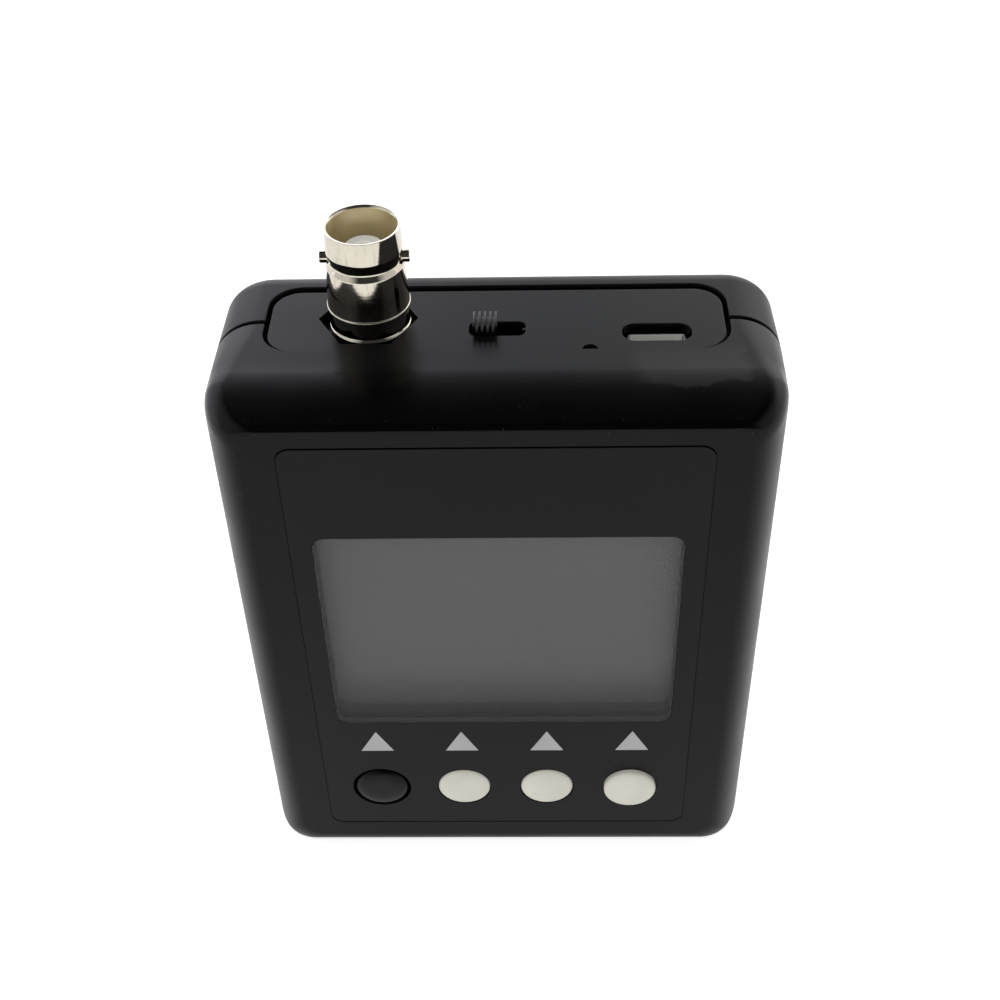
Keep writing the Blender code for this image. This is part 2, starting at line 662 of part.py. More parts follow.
def front_depths(inset):
    """Depths of the front shell's rings, from the front face back to the end of its roundings."""
    face = FRONT_Y + inset
    depths = [face + (FRONT_SIDE_DEPTH - inset) * (1 - cos(step / EDGE_STEPS * pi / 2))
              for step in range(EDGE_STEPS + 1)]
    return depths + [FRONT_Y + FRONT_TOP_DEPTH]


def back_depths(inset):
    """Depths of the back shell's rings, from the start of its roundings to the back face."""
    face = BACK_Y - inset
    return [face - (BACK_SIDE_DEPTH - inset) * (1 - cos(step / EDGE_STEPS * pi / 2))
            for step in reversed(range(EDGE_STEPS + 1))]


def corner_places():
    """X and Z of the four case screws."""
    return [(side * CASE_SCREW_X, z) for side in (-1, 1) for z in (CASE_SCREW_LOW_Z, CASE_SCREW_HIGH_Z)]


def standoff_places():
    """X and Z of the four board screws."""
    return [(-LOW_SCREW_X, LOW_SCREW_Z), (LOW_SCREW_X, LOW_SCREW_Z),
            (RIGHT_SCREW_X, RIGHT_SCREW_Z), (MIDDLE_SCREW_X, MIDDLE_SCREW_Z)]


def button_places():
    """X of the buttons, from the left."""
    return [(index - (BUTTON_COUNT - 1) / 2) * BUTTON_PITCH for index in range(BUTTON_COUNT)]


def cylinders(places, radius, low, high, sides=SMALL_SIDES):
    """Cylinders along Y at places given by X and Z."""
    bm = bmesh.new()
    for place in places:
        add_prism(bm, circle(place, radius, sides), "Y", low, high)
    return bm


def window_outline(grow, radius):
    """The display window's outline, larger by grow on each side."""
    size = (WINDOW_WIDTH + 2 * grow, WINDOW_HEIGHT + 2 * grow)
    return centred((0, WINDOW_Z), size, radius)


def panel_outline(grow, radius):
    """The end panel's opening in the shells, in X and Y, larger by grow on each side."""
    half_width = PANEL_WIDTH / 2 + PANEL_SIDE_GAP + grow
    low = (-half_width, PANEL_FRONT_Y - PANEL_FRONT_GAP - grow)
    high = (half_width, PANEL_BACK_Y + PANEL_BACK_GAP + grow)
    return rectangle(low, high, radius)


def button_holes(low, high):
    """The four button holes as cutters."""
    places = [(x, BUTTON_Z) for x in button_places()]
    return cylinders(places, BUTTON_HOLE_RADIUS, low, high, ROUND_SIDES)


def build_front_shell():
    """Front half of the case: label recess, window shroud, bosses and the parting lip."""
    edge = PARTING_Y - PARTING_GAP / 2
    lip_end = PARTING_Y + LIP_HEIGHT
    lip_inset = WALL - LIP_THICKNESS
    rings = [case_ring(y, 0) for y in front_depths(0) + [edge]]
    rings += [case_ring(edge, lip_inset), case_ring(lip_end, lip_inset), case_ring(lip_end, WALL)]
    rings += [case_ring(y, WALL) for y in reversed(front_depths(WALL))]
    bm = bmesh.new()
    add_rings(bm, rings)
    shell = make_object("front_shell", bm, (BLACK_PLASTIC, 0.45), True)
    join(shell, "corner_bosses", cylinders(corner_places(), FRONT_BOSS_RADIUS, INNER_FRONT_Y - SINK,
                                           POST_MEETING_Y - FIT / 2))
    join(shell, "standoffs", cylinders(standoff_places(), STANDOFF_RADIUS, INNER_FRONT_Y - SINK,
                                       BOARD_FRONT_Y - FIT))
    join(shell, "shroud", prism(window_outline(SHROUD_EDGE, PANE_RADIUS + SHROUD_RIM), "Y",
                                INNER_FRONT_Y - SINK, SHROUD_END_Y))
    recess = rectangle((-LABEL_WIDTH / 2 - FIT, LABEL_LOW_Z - FIT), (LABEL_WIDTH / 2 + FIT, LABEL_HIGH_Z + FIT),
                       LABEL_RADIUS + FIT)
    cut(shell, "label_recess", prism(recess, "Y", FRONT_Y - OVERRUN, LABEL_FLOOR_Y))
    pocket = window_outline(PANE_EDGE + FIT, POCKET_RADIUS)
    cut(shell, "pane_pocket", prism(pocket, "Y", FRONT_Y, PANE_BACK_Y + FIT))
    cut(shell, "window", prism(window_outline(0, WINDOW_RADIUS), "Y", FRONT_Y, SHROUD_END_Y + OVERRUN))
    cut(shell, "button_holes", button_holes(FRONT_Y, INNER_FRONT_Y + OVERRUN))
    cut(shell, "corner_pilots", cylinders(corner_places(), SCREW_CLEARANCE_RADIUS,
                                          POST_MEETING_Y - CASE_SCREW_GRIP - OVERRUN, POST_MEETING_Y))
    cut(shell, "standoff_pilots", cylinders(standoff_places(), BOARD_HOLE_RADIUS,
                                            BOARD_FRONT_Y - BOARD_SCREW_GRIP - OVERRUN, BOARD_FRONT_Y))
    cut(shell, "front_panel_opening", prism(panel_outline(0, PANEL_RADIUS + PANEL_SIDE_GAP), "Z",
                                            INNER_TOP_Z - OVERRUN, CASE_HEIGHT + OVERRUN))


def build_back_shell():
    """Back half of the case: posts, screw recesses, battery ribs and the rebate for the lip."""
    edge = PARTING_Y + PARTING_GAP / 2
    rebate_inset = WALL - LIP_THICKNESS - FIT
    rebate_end = PARTING_Y + LIP_HEIGHT + FIT
    rings = [case_ring(y, WALL) for y in reversed(back_depths(WALL))]
    rings += [case_ring(rebate_end, WALL), case_ring(rebate_end, rebate_inset)]
    rings += [case_ring(edge, rebate_inset), case_ring(edge, 0)]
    rings += [case_ring(y, 0) for y in back_depths(0)]
    bm = bmesh.new()
    add_rings(bm, rings)
    shell = make_object("back_shell", bm, (BLACK_PLASTIC, 0.45), True)
    join(shell, "corner_posts", cylinders(corner_places(), BACK_POST_RADIUS, POST_MEETING_Y + FIT / 2,
                                          INNER_BACK_Y + SINK, ROUND_SIDES))
    side_x = BATTERY_WIDTH / 2 + FIT
    low_z = BATTERY_LOW_Z - FIT
    high_z = BATTERY_TOP_Z + FIT
    half_side_rib = BATTERY_LENGTH * SIDE_RIB_SHARE / 2
    half_end_rib = BATTERY_WIDTH * END_RIB_SHARE / 2
    front = INNER_BACK_Y - RIB_HEIGHT
    back = INNER_BACK_Y + SINK
    ribs = bmesh.new()
    for side in (-1, 1):
        inner, outer = sorted((side * side_x, side * (side_x + RIB_THICKNESS)))
        add_box(ribs, (inner, front, BATTERY_Z - half_side_rib), (outer, back, BATTERY_Z + half_side_rib))
    add_box(ribs, (-half_end_rib, front, low_z - RIB_THICKNESS), (half_end_rib, back, low_z))
    add_box(ribs, (-half_end_rib, front, high_z), (half_end_rib, back, high_z + RIB_THICKNESS))
    join(shell, "battery_ribs", ribs)
    cut(shell, "screw_recesses", cylinders(corner_places(), SCREW_RECESS_RADIUS, SCREW_SEAT_Y,
                                           BACK_Y + OVERRUN, ROUND_SIDES))
    cut(shell, "screw_holes", cylinders(corner_places(), SCREW_CLEARANCE_RADIUS, POST_MEETING_Y,
                                        SCREW_SEAT_Y + OVERRUN))
    cut(shell, "back_panel_opening", prism(panel_outline(0, PANEL_RADIUS + PANEL_SIDE_GAP), "Z",
                                           INNER_TOP_Z - OVERRUN, CASE_HEIGHT + OVERRUN))


def build_end_panel():
    """Panel of the upper end, with a flange under both shells and all the openings."""
    plate = rectangle((-PANEL_WIDTH / 2, PANEL_FRONT_Y), (PANEL_WIDTH / 2, PANEL_BACK_Y), PANEL_RADIUS)
    panel = make_object("end_panel", prism(plate, "Z", FLANGE_LOW_Z, PANEL_TOP_Z),
                        (PANEL_PLASTIC, 0.5), True)
    flange = panel_outline(FLANGE_EDGE, PANEL_RADIUS + PANEL_SIDE_GAP + FLANGE_EDGE)
    join(panel, "flange", prism(flange, "Z", FLANGE_LOW_Z, FLANGE_TOP_Z))
    hollow = rectangle((JACK_X + JACK_PAD, PANEL_FRONT_Y + PANEL_RIM),
                       (PANEL_WIDTH / 2 - PANEL_RIM, PANEL_BACK_Y - PANEL_RIM))
    cut(panel, "panel_hollow", prism(hollow, "Z", FLANGE_LOW_Z - OVERRUN, PANEL_UNDERSIDE_Z))
    half_corners = JACK_HOLE_CORNERS / 2
    half_flats = JACK_HOLE_FLATS / 2
    pocket = [(half_corners, 0), (half_corners / 2, half_flats), (-half_corners / 2, half_flats),
              (-half_corners, 0), (-half_corners / 2, -half_flats), (half_corners / 2, -half_flats)]
    pocket = [(JACK_HOLE_X + x, JACK_Y + y) for x, y in pocket]
    cut(panel, "jack_pocket", prism(pocket, "Z", JACK_SEAT_Z, PANEL_TOP_Z + OVERRUN))
    cut(panel, "jack_hole", prism(circle((JACK_X, JACK_Y), STEM_HOLE_RADIUS), "Z", FLANGE_LOW_Z - OVERRUN,
                                  PANEL_TOP_Z))
    slot = centred((SWITCH_X, SWITCH_Y), (SLOT_LENGTH, SLOT_WIDTH), SLOT_WIDTH / 3)
    cut(panel, "switch_slot", prism(slot, "Z", FLANGE_LOW_Z, PANEL_TOP_Z + OVERRUN))
    size = (USB_WIDTH + 2 * USB_OPENING_GAP, USB_DEPTH + 2 * FIT)
    usb = centred((USB_X, USB_Y), size, size[1] / 2 - FIT / 3)
    cut(panel, "usb_opening", prism(usb, "Z", FLANGE_LOW_Z, PANEL_TOP_Z + OVERRUN))
    lamp = circle((LAMP_X, PANEL_FRONT_Y), LAMP_HOLE_RADIUS)
    cut(panel, "lamp_hole", prism(lamp, "Z", FLANGE_LOW_Z - OVERRUN, PANEL_TOP_Z + OVERRUN))


def build_front_label():
    """Thin overlay in the recess of the front, with the window and the button holes."""
    outline = rectangle((-LABEL_WIDTH / 2, LABEL_LOW_Z), (LABEL_WIDTH / 2, LABEL_HIGH_Z), LABEL_RADIUS)
    label = make_object("front_label", prism(outline, "Y", LABEL_FRONT_Y, LABEL_BACK_Y), (LABEL_BLACK, 0.4))
    low = LABEL_FRONT_Y - OVERRUN
    high = LABEL_BACK_Y + OVERRUN
    cut(label, "label_window", prism(window_outline(0, WINDOW_RADIUS), "Y", low, high))
    cut(label, "label_buttons", button_holes(low, high))


def build_display():
    """Clear pane with its raised middle, glass, light guide, metal bezel, holder and ribbon."""
    edge = window_outline(PANE_EDGE, PANE_RADIUS)
    pane = make_object("display_window", prism(edge, "Y", PANE_FRONT_Y, PANE_BACK_Y), (CLEAR, 0.1, 0.0, 0.25))
    raised = window_outline(-FIT, WINDOW_RADIUS - FIT)
    join(pane, "pane_middle", prism(raised, "Y", LABEL_FRONT_Y, PANE_FRONT_Y + PANE_THICKNESS / 2))
    middle = (0, WINDOW_Z)
    glass = centred(middle, (GLASS_WIDTH, GLASS_HEIGHT))
    make_object("display_glass", prism(glass, "Y", GLASS_FRONT_Y, GLASS_BACK_Y), (GLASS_GREY, 0.3))
    make_object("display_backlight", prism(glass, "Y", BACKLIGHT_FRONT_Y, BACKLIGHT_BACK_Y),
                (WHITE_PLASTIC, 0.5))
    bezel = make_object("display_bezel", prism(centred(middle, (BEZEL_WIDTH, BEZEL_HEIGHT)), "Y",
                                               GLASS_FRONT_Y, BEZEL_BACK_Y), (STEEL, 0.35, 1.0))
    pocket = centred(middle, (GLASS_WIDTH + 2 * FIT, GLASS_HEIGHT + 2 * FIT))
    cut(bezel, "bezel_pocket", prism(pocket, "Y", GLASS_FRONT_Y - OVERRUN, BEZEL_POCKET_Y))
    build_display_holder()
    build_ribbon()


def build_display_holder():
    """Moulded table that carries the display on the board."""
    width = BEZEL_WIDTH - 2 * HOLDER_INSET
    height = BEZEL_HEIGHT - 2 * HOLDER_INSET
    front = BEZEL_BACK_Y + FIT
    table_back = front + HOLDER_THICKNESS
    holder = make_object("display_holder", prism(centred((0, WINDOW_Z), (width, height)), "Y", front,
                                                 table_back), (BLACK_PLASTIC, 0.6))
    legs = bmesh.new()
    leg_x = BOARD_WIDTH / 2 - HOLDER_LEG
    leg_z = height / 2 - HOLDER_LEG / 2 - FIT
    for side_x in (-1, 1):
        for side_z in (-1, 1):
            place = (side_x * leg_x, WINDOW_Z + side_z * leg_z)
            add_prism(legs, centred(place, (HOLDER_LEG, HOLDER_LEG)), "Y", table_back - SINK, FRONT_PARTS_Y)
    join(holder, "holder_legs", legs)


def build_ribbon():
    """Flexible strip that leaves the bezel, turns back on itself and enters its socket on the board."""
    socket_height = RIBBON_SOCKET_HEIGHT
    start_x = BEZEL_WIDTH / 2 + FIT
    turn_x = start_x + RIBBON_RUN
    end_y = FRONT_PARTS_Y - socket_height / 2 + RIBBON_THICKNESS / 2
    radius = (end_y - RIBBON_Y) / 2
    centre_y = (end_y + RIBBON_Y) / 2
    socket_right_x = BOARD_WIDTH / 2 - FIT
    end_x = socket_right_x + FIT
    angles = [pi * (step / RIBBON_STEPS - 1 / 2) for step in range(RIBBON_STEPS + 1)]
    outer = [(turn_x + radius * cos(angle), centre_y + radius * sin(angle)) for angle in angles]
    inner_radius = radius - RIBBON_THICKNESS
    inner = [(turn_x + inner_radius * cos(angle), centre_y + inner_radius * sin(angle)) for angle in angles]
    outline = [(start_x, RIBBON_Y)] + outer + [(end_x, end_y), (end_x, end_y - RIBBON_THICKNESS)]
    outline += list(reversed(inner)) + [(start_x, RIBBON_Y + RIBBON_THICKNESS)]
    low = WINDOW_Z - RIBBON_WIDTH / 2
    make_object("display_ribbon", prism(outline, "Z", low, low + RIBBON_WIDTH), (FILM_AMBER, 0.4))
    make_object("ribbon_socket", box((socket_right_x - RIBBON_SOCKET_WIDTH, FRONT_PARTS_Y - socket_height, low),
                                     (socket_right_x, FRONT_PARTS_Y, low + RIBBON_WIDTH)), (WHITE_PLASTIC, 0.5))


def build_board():
    """Circuit board with the notch for the jack, and the screws that hold it."""
    outline = [(-BOARD_WIDTH / 2, BOARD_LOW_Z), (BOARD_WIDTH / 2, BOARD_LOW_Z),
               (BOARD_WIDTH / 2, BOARD_HIGH_Z), (NOTCH_RIGHT_X, BOARD_HIGH_Z),
               (NOTCH_RIGHT_X, NOTCH_LOW_Z), (-BOARD_WIDTH / 2, NOTCH_LOW_Z)]
    board = make_object("main_board", prism(outline, "Y", BOARD_FRONT_Y, BOARD_BACK_Y), (BOARD_GREEN, 0.5))
    cut(board, "board_holes", cylinders(standoff_places(), BOARD_HOLE_RADIUS, BOARD_FRONT_Y - OVERRUN,
                                        BOARD_BACK_Y + OVERRUN))


def build_screw(name, place, seat_y, tip_y, shank_radius, head_radius, head_height):
    """A pan-head screw with a crossed slot, driven in from the back."""
    head_back = seat_y + head_height
    slot_floor = head_back - head_height * CROSS_DEPTH_SHARE
    profile = [(shank_radius, tip_y), (shank_radius, seat_y), (head_radius, seat_y),
               (head_radius, slot_floor), (head_radius / 2, head_back)]
    screw = make_object(name, turned(profile, place, "Y", SMALL_SIDES), (STEEL, 0.4, 1.0), True)
    x, z = place
    width = head_radius * CROSS_WIDTH_SHARE / 2
    length = head_radius * CROSS_LENGTH_SHARE / 2
    cross = [(x - length, z - width), (x - width, z - width), (x - width, z - length),
             (x + width, z - length), (x + width, z - width), (x + length, z - width),
             (x + length, z + width), (x + width, z + width), (x + width, z + length),
             (x - width, z + length), (x - width, z + width), (x - length, z + width)]
    cut(screw, name + "_slot", prism(cross, "Y", slot_floor, head_back + OVERRUN))


def build_all_screws():
    """Screws of the case and of the board."""
    for number, place in enumerate(corner_places(), 1):
        build_screw(f"case_screw_{number}", place, SCREW_SEAT_Y + FIT, POST_MEETING_Y - CASE_SCREW_GRIP,
                    CASE_SCREW_RADIUS, CASE_SCREW_HEAD_RADIUS, CASE_SCREW_HEAD_HEIGHT)
    for number, place in enumerate(standoff_places(), 1):
        build_screw(f"board_screw_{number}", place, BACK_PARTS_Y, BOARD_FRONT_Y - BOARD_SCREW_GRIP,
                    BOARD_SCREW_RADIUS, BOARD_SCREW_HEAD_RADIUS, BOARD_SCREW_HEAD_HEIGHT)


def build_buttons():
    """Domed caps, the plungers that move with them, and the switches that they press."""
    flange_radius = CAP_RADIUS + CAP_FLANGE
    for number, x in enumerate(button_places(), 1):
        lift = LAST_CAP_LIFT if number == BUTTON_COUNT else 0
        profile = [(flange_radius, CAP_BACK_Y - lift), (flange_radius, CAP_FLANGE_Y - lift),
                   (CAP_RADIUS, CAP_FLANGE_Y - lift)]
        for step in range(EDGE_STEPS):
            angle = step / EDGE_STEPS * pi / 2
            profile.append((CAP_RADIUS * sqrt(cos(angle)), CAP_FRONT_Y - lift + CAP_DOME * (1 - sin(angle))))
        colour = BLACK_PLASTIC if number == 1 else OFF_WHITE
        cap = make_object(f"button_cap_{number}", turned(profile, (x, BUTTON_Z), "Y", ROUND_SIDES),
                          (colour, 0.4), True)
        set_origin(cap, (x, FRONT_Y, BUTTON_Z))
        plunger = make_object(f"button_plunger_{number}",
                              prism(circle((x, BUTTON_Z), PLUNGER_RADIUS, SMALL_SIDES), "Y",
                                    CAP_BACK_Y + FIT - lift, BUTTON_SWITCH_FRONT_Y + PLUNGER_DEPTH - lift),
                              (CHIP_BLACK, 0.5), True)
        set_origin(plunger, (x, CAP_BACK_Y, BUTTON_Z))
        attach(plunger, cap)
        switch = add_part(f"button_switch_{number}", x, BUTTON_Z, (BUTTON_SWITCH_SIZE, BUTTON_SWITCH_SIZE),
                          BUTTON_SWITCH_HEIGHT, (CHIP_BLACK, 0.5), front=True)
        bore = circle((x, BUTTON_Z), PLUNGER_RADIUS + FIT, SMALL_SIDES)
        cut(switch, f"switch_bore_{number}", prism(bore, "Y", BUTTON_SWITCH_FRONT_Y - OVERRUN,
                                                   BUTTON_SWITCH_FRONT_Y + SWITCH_BORE_DEPTH))


def build_power_switch():
    """Slide switch: body on the board, pins, and the ridged knob that slides along X."""
    body_low = (SWITCH_X - SWITCH_BODY_LENGTH / 2, SWITCH_Y - SWITCH_BODY_DEPTH / 2, SWITCH_BODY_LOW_Z)
    body_high = (SWITCH_X + SWITCH_BODY_LENGTH / 2, SWITCH_Y + SWITCH_BODY_DEPTH / 2, SWITCH_BODY_TOP_Z)
    body = make_object("power_switch_body", box(body_low, body_high), (STEEL, 0.4, 1.0))
    first_x = KNOB_X - STEM_WIDTH / 2 - FIT
    last_x = KNOB_X + KNOB_TRAVEL + STEM_WIDTH / 2 + FIT
    half_track = STEM_DEPTH / 2 + FIT
    stem_low_z = SWITCH_BODY_TOP_Z - STEM_IN_BODY
    cut(body, "switch_track", box((first_x, SWITCH_Y - half_track, stem_low_z - FIT),
                                  (last_x, SWITCH_Y + half_track, SWITCH_BODY_TOP_Z + OVERRUN)))
    pins = bmesh.new()
    for index in range(SWITCH_PIN_COUNT):
        x = SWITCH_X + (index - (SWITCH_PIN_COUNT - 1) / 2) * SWITCH_PIN_PITCH
        add_box(pins, (x - SWITCH_PIN_WIDTH / 2, BACK_PARTS_Y, SWITCH_BODY_LOW_Z - SWITCH_PIN_LENGTH),
                (x + SWITCH_PIN_WIDTH / 2, BACK_PARTS_Y + SWITCH_PIN_WIDTH, SWITCH_BODY_LOW_Z + SINK))
    join(body, "switch_pins", pins)
    base_top_z = KNOB_LOW_Z + KNOB_HEIGHT - RIDGE_HEIGHT
    pitch = KNOB_WIDTH / (KNOB_RIDGES - 1 + RIDGE_SHARE)
    left_x = KNOB_X - KNOB_WIDTH / 2
    profile = [(left_x, KNOB_LOW_Z), (left_x + KNOB_WIDTH, KNOB_LOW_Z)]
    for index in reversed(range(KNOB_RIDGES)):
        ridge_x = left_x + index * pitch
        ridge_end_x = ridge_x + pitch * RIDGE_SHARE
        if index < KNOB_RIDGES - 1:
            profile.append((ridge_end_x, base_top_z))
        profile.append((ridge_end_x, base_top_z + RIDGE_HEIGHT))
        profile.append((ridge_x, base_top_z + RIDGE_HEIGHT))
        if index:
            profile.append((ridge_x, base_top_z))
    knob = make_object("power_switch_knob", prism(profile, "Y", SWITCH_Y - KNOB_DEPTH / 2,
                                                  SWITCH_Y + KNOB_DEPTH / 2), (CHIP_BLACK, 0.5))
    set_origin(knob, (KNOB_X, SWITCH_Y, KNOB_LOW_Z))
    join(knob, "knob_stem", box((KNOB_X - STEM_WIDTH / 2, SWITCH_Y - STEM_DEPTH / 2, stem_low_z),
                                (KNOB_X + STEM_WIDTH / 2, SWITCH_Y + STEM_DEPTH / 2, KNOB_LOW_Z + SINK)))


def usb_outline(grow):
    """Section of the charging socket's shell in X and Y: wide at the back, narrow at the board."""
    wide = USB_WIDTH / 2 + grow
    narrow = USB_NARROW_WIDTH / 2 + grow
    front = USB_Y - USB_DEPTH / 2 - grow
    back = USB_Y + USB_DEPTH / 2 + grow
    shoulder = front + USB_CHAMFER
    radius = USB_CORNER_RADIUS + grow
    right = []
    for step in range(EDGE_STEPS + 1):
        angle = step / EDGE_STEPS * pi / 2
        right.append((wide - radius * (1 - cos(angle)), back - radius * (1 - sin(angle))))
    half = [(narrow, front), (wide, shoulder)] + right
    return [(USB_X + x, y) for x, y in half] + [(USB_X - x, y) for x, y in reversed(half)]


def build_usb_socket():
    """Metal shell of the charging socket, open at the top, and its tongue."""
    shell = make_object("usb_shell", prism(usb_outline(0), "Z", USB_LOW_Z, USB_TOP_Z), (TIN, 0.3, 1.0))
    floor_z = USB_LOW_Z + USB_FLOOR
    cut(shell, "usb_hollow", prism(usb_outline(-USB_SHEET), "Z", floor_z, USB_TOP_Z + OVERRUN))
    low = (USB_X - TONGUE_WIDTH / 2, USB_Y - TONGUE_THICKNESS / 2, floor_z + FIT)
    high = (USB_X + TONGUE_WIDTH / 2, USB_Y + TONGUE_THICKNESS / 2, USB_TOP_Z - TONGUE_SET_BACK)
    make_object("usb_tongue", box(low, high), (CHIP_BLACK, 0.5))


def build_antenna_jack():
    """Bayonet jack with its two lugs, seated in the panel's pocket, and what holds and fills it."""
    centre = (JACK_X, JACK_Y)
    step = JACK_RING_RADIUS - JACK_BODY_RADIUS
    ring_top_z = JACK_TOP_Z - JACK_BODY_DEPTH - step
    mouth_chamfer_z = JACK_TOP_Z - JACK_RIM_CHAMFER
    rim_low_z = JACK_TOP_Z - JACK_RIM_HEIGHT
    flange_top_z = JACK_FLANGE_LOW_Z + JACK_FLANGE_HEIGHT
    profile = [(INSULATOR_BORE_RADIUS, STEM_LOW_Z), (INSULATOR_BORE_RADIUS, JACK_TOP_Z - JACK_MOUTH_DEPTH),
               (JACK_MOUTH_RADIUS, JACK_TOP_Z - JACK_MOUTH_DEPTH), (JACK_MOUTH_RADIUS, mouth_chamfer_z),
               (JACK_MOUTH_RADIUS + JACK_RIM_CHAMFER, JACK_TOP_Z),
               (JACK_RIM_RADIUS - JACK_RIM_CHAMFER, JACK_TOP_Z), (JACK_RIM_RADIUS, mouth_chamfer_z),
               (JACK_RIM_RADIUS, rim_low_z),
               (JACK_NECK_RADIUS, rim_low_z - (JACK_RIM_RADIUS - JACK_NECK_RADIUS)),
               (JACK_SLEEVE_RADIUS, JACK_TOP_Z - JACK_SLEEVE_LENGTH),
               (JACK_WAIST_RADIUS, JACK_TOP_Z - JACK_WAIST_DEPTH),
               (JACK_SHOULDER_RADIUS, JACK_TOP_Z - JACK_SHOULDER_DEPTH),
               (JACK_BODY_RADIUS, JACK_TOP_Z - JACK_BODY_DEPTH), (JACK_RING_RADIUS, ring_top_z),
               (JACK_RING_RADIUS, ring_top_z - JACK_RING_HEIGHT),
               (JACK_COLLAR_RADIUS, ring_top_z - JACK_RING_HEIGHT - step),
               (JACK_COLLAR_RADIUS, flange_top_z), (JACK_FLANGE_RADIUS, flange_top_z),
               (JACK_FLANGE_RADIUS, JACK_FLANGE_LOW_Z), (JACK_STEM_RADIUS, JACK_FLANGE_LOW_Z),
               (JACK_STEM_RADIUS, STEM_LOW_Z)]
    jack = make_object("antenna_jack_body", turned(profile, centre, "Z", closed=True), (NICKEL, 0.2, 1.0), True)
    lugs = bmesh.new()
    lug_z = JACK_TOP_Z - LUG_DEPTH
    lug_root = (JACK_MOUTH_RADIUS + JACK_WAIST_RADIUS) / 2
    for side in (-1, 1):
        inner, outer = sorted((JACK_X + side * lug_root, JACK_X + side * LUG_SPAN / 2))
        add_prism(lugs, circle((JACK_Y, lug_z), LUG_RADIUS, SMALL_SIDES), "X", inner, outer)
    join(jack, "jack_lugs", lugs)
    build_jack_inside(centre)
    build_jack_fixings(centre)


def build_jack_inside(centre):
    """White insulator and the centre contact, whose tail turns to the board."""
    hole_radius = CONTACT_RADIUS + FIT
    insulator_top_z = JACK_TOP_Z - INSULATOR_DEPTH
    profile = [(hole_radius, INSULATOR_LOW_Z), (INSULATOR_RADIUS, INSULATOR_LOW_Z),
               (INSULATOR_RADIUS, insulator_top_z), (hole_radius, insulator_top_z)]
    make_object("antenna_jack_insulator", turned(profile, centre, "Z", ROUND_SIDES, True),
                (WHITE_PLASTIC, 0.4), True)
    contact = make_object("antenna_jack_contact",
                          prism(circle(centre, CONTACT_RADIUS, SMALL_SIDES), "Z", CONTACT_LOW_Z,
                                JACK_TOP_Z - CONTACT_DEPTH), (CONTACT_GOLD, 0.25, 1.0), True)
    tail_z = CONTACT_LOW_Z + CONTACT_RADIUS
    half = CONTACT_RADIUS / 2
    join(contact, "contact_tail", box((JACK_X - half, BACK_PARTS_Y, tail_z - half),
                                      (JACK_X + half, JACK_Y, tail_z + half)))


def ring_prism(centre, inner_radius, outer, low_z, high_z):
    """A flat ring with a round hole, whose outer outline is a list of points."""
    hole = circle(centre, inner_radius, len(outer))
    bm = bmesh.new()
    add_rings(bm, [[(*point, low_z) for point in hole], [(*point, low_z) for point in outer],
                   [(*point, high_z) for point in outer], [(*point, high_z) for point in hole]], closed=True)
    return bm


def build_jack_fixings(centre):
    """Toothed washer under the panel, ground tag to the board, and the nut."""
    washer_radius = STEM_HOLE_RADIUS + WASHER_EDGE
    outer = []
    for index, (x, y) in enumerate(circle((0, 0), washer_radius, 2 * WASHER_TEETH)):
        factor = 1 - TOOTH_SHARE * (index % 2)
        outer.append((JACK_X + x * factor, JACK_Y + y * factor))
    make_object("antenna_jack_washer", ring_prism(centre, STEM_HOLE_RADIUS, outer, WASHER_LOW_Z,
                                                  WASHER_TOP_Z), (TIN, 0.3, 1.0))
    tag_radius = STEM_HOLE_RADIUS + TAG_EDGE
    tag_ring = ring_prism(centre, STEM_HOLE_RADIUS, circle(centre, tag_radius), TAG_LOW_Z, TAG_TOP_Z)
    tag = make_object("antenna_jack_ground_tag", tag_ring, (TIN, 0.35, 1.0))
    root_x = JACK_X + tag_radius - SINK
    end_x = NOTCH_RIGHT_X + TAG_WIDTH
    low_y = JACK_Y - TAG_WIDTH / 2
    high_y = JACK_Y + TAG_WIDTH / 2
    arm = [(root_x, low_y), (end_x - TAG_THICKNESS, low_y), (end_x - TAG_THICKNESS, BACK_PARTS_Y),
           (end_x, BACK_PARTS_Y), (end_x, high_y), (root_x, high_y)]
    join(tag, "tag_arm", prism(arm, "Z", TAG_LOW_Z, TAG_TOP_Z))
    corners = circle(centre, NUT_CORNER_RADIUS, 6)
    outline = []
    for corner, following in zip(corners, corners[1:] + corners[:1]):
        for step in range(NUT_EDGE_STEPS):
            share = step / NUT_EDGE_STEPS
            outline.append([start + (end - start) * share for start, end in zip(corner, following)])
    make_object("antenna_jack_nut", ring_prism(centre, STEM_HOLE_RADIUS, outline, NUT_LOW_Z, NUT_TOP_Z),
                (NICKEL, 0.3, 1.0))


def add_part(name, x, z, size, height, finish, front=False):
    """A box-shaped part on one side of the board."""
    outline = centred((x, z), size)
    low = FRONT_PARTS_Y - height if front else BACK_PARTS_Y
    return make_object(name, prism(outline, "Y", low, low + height), finish)


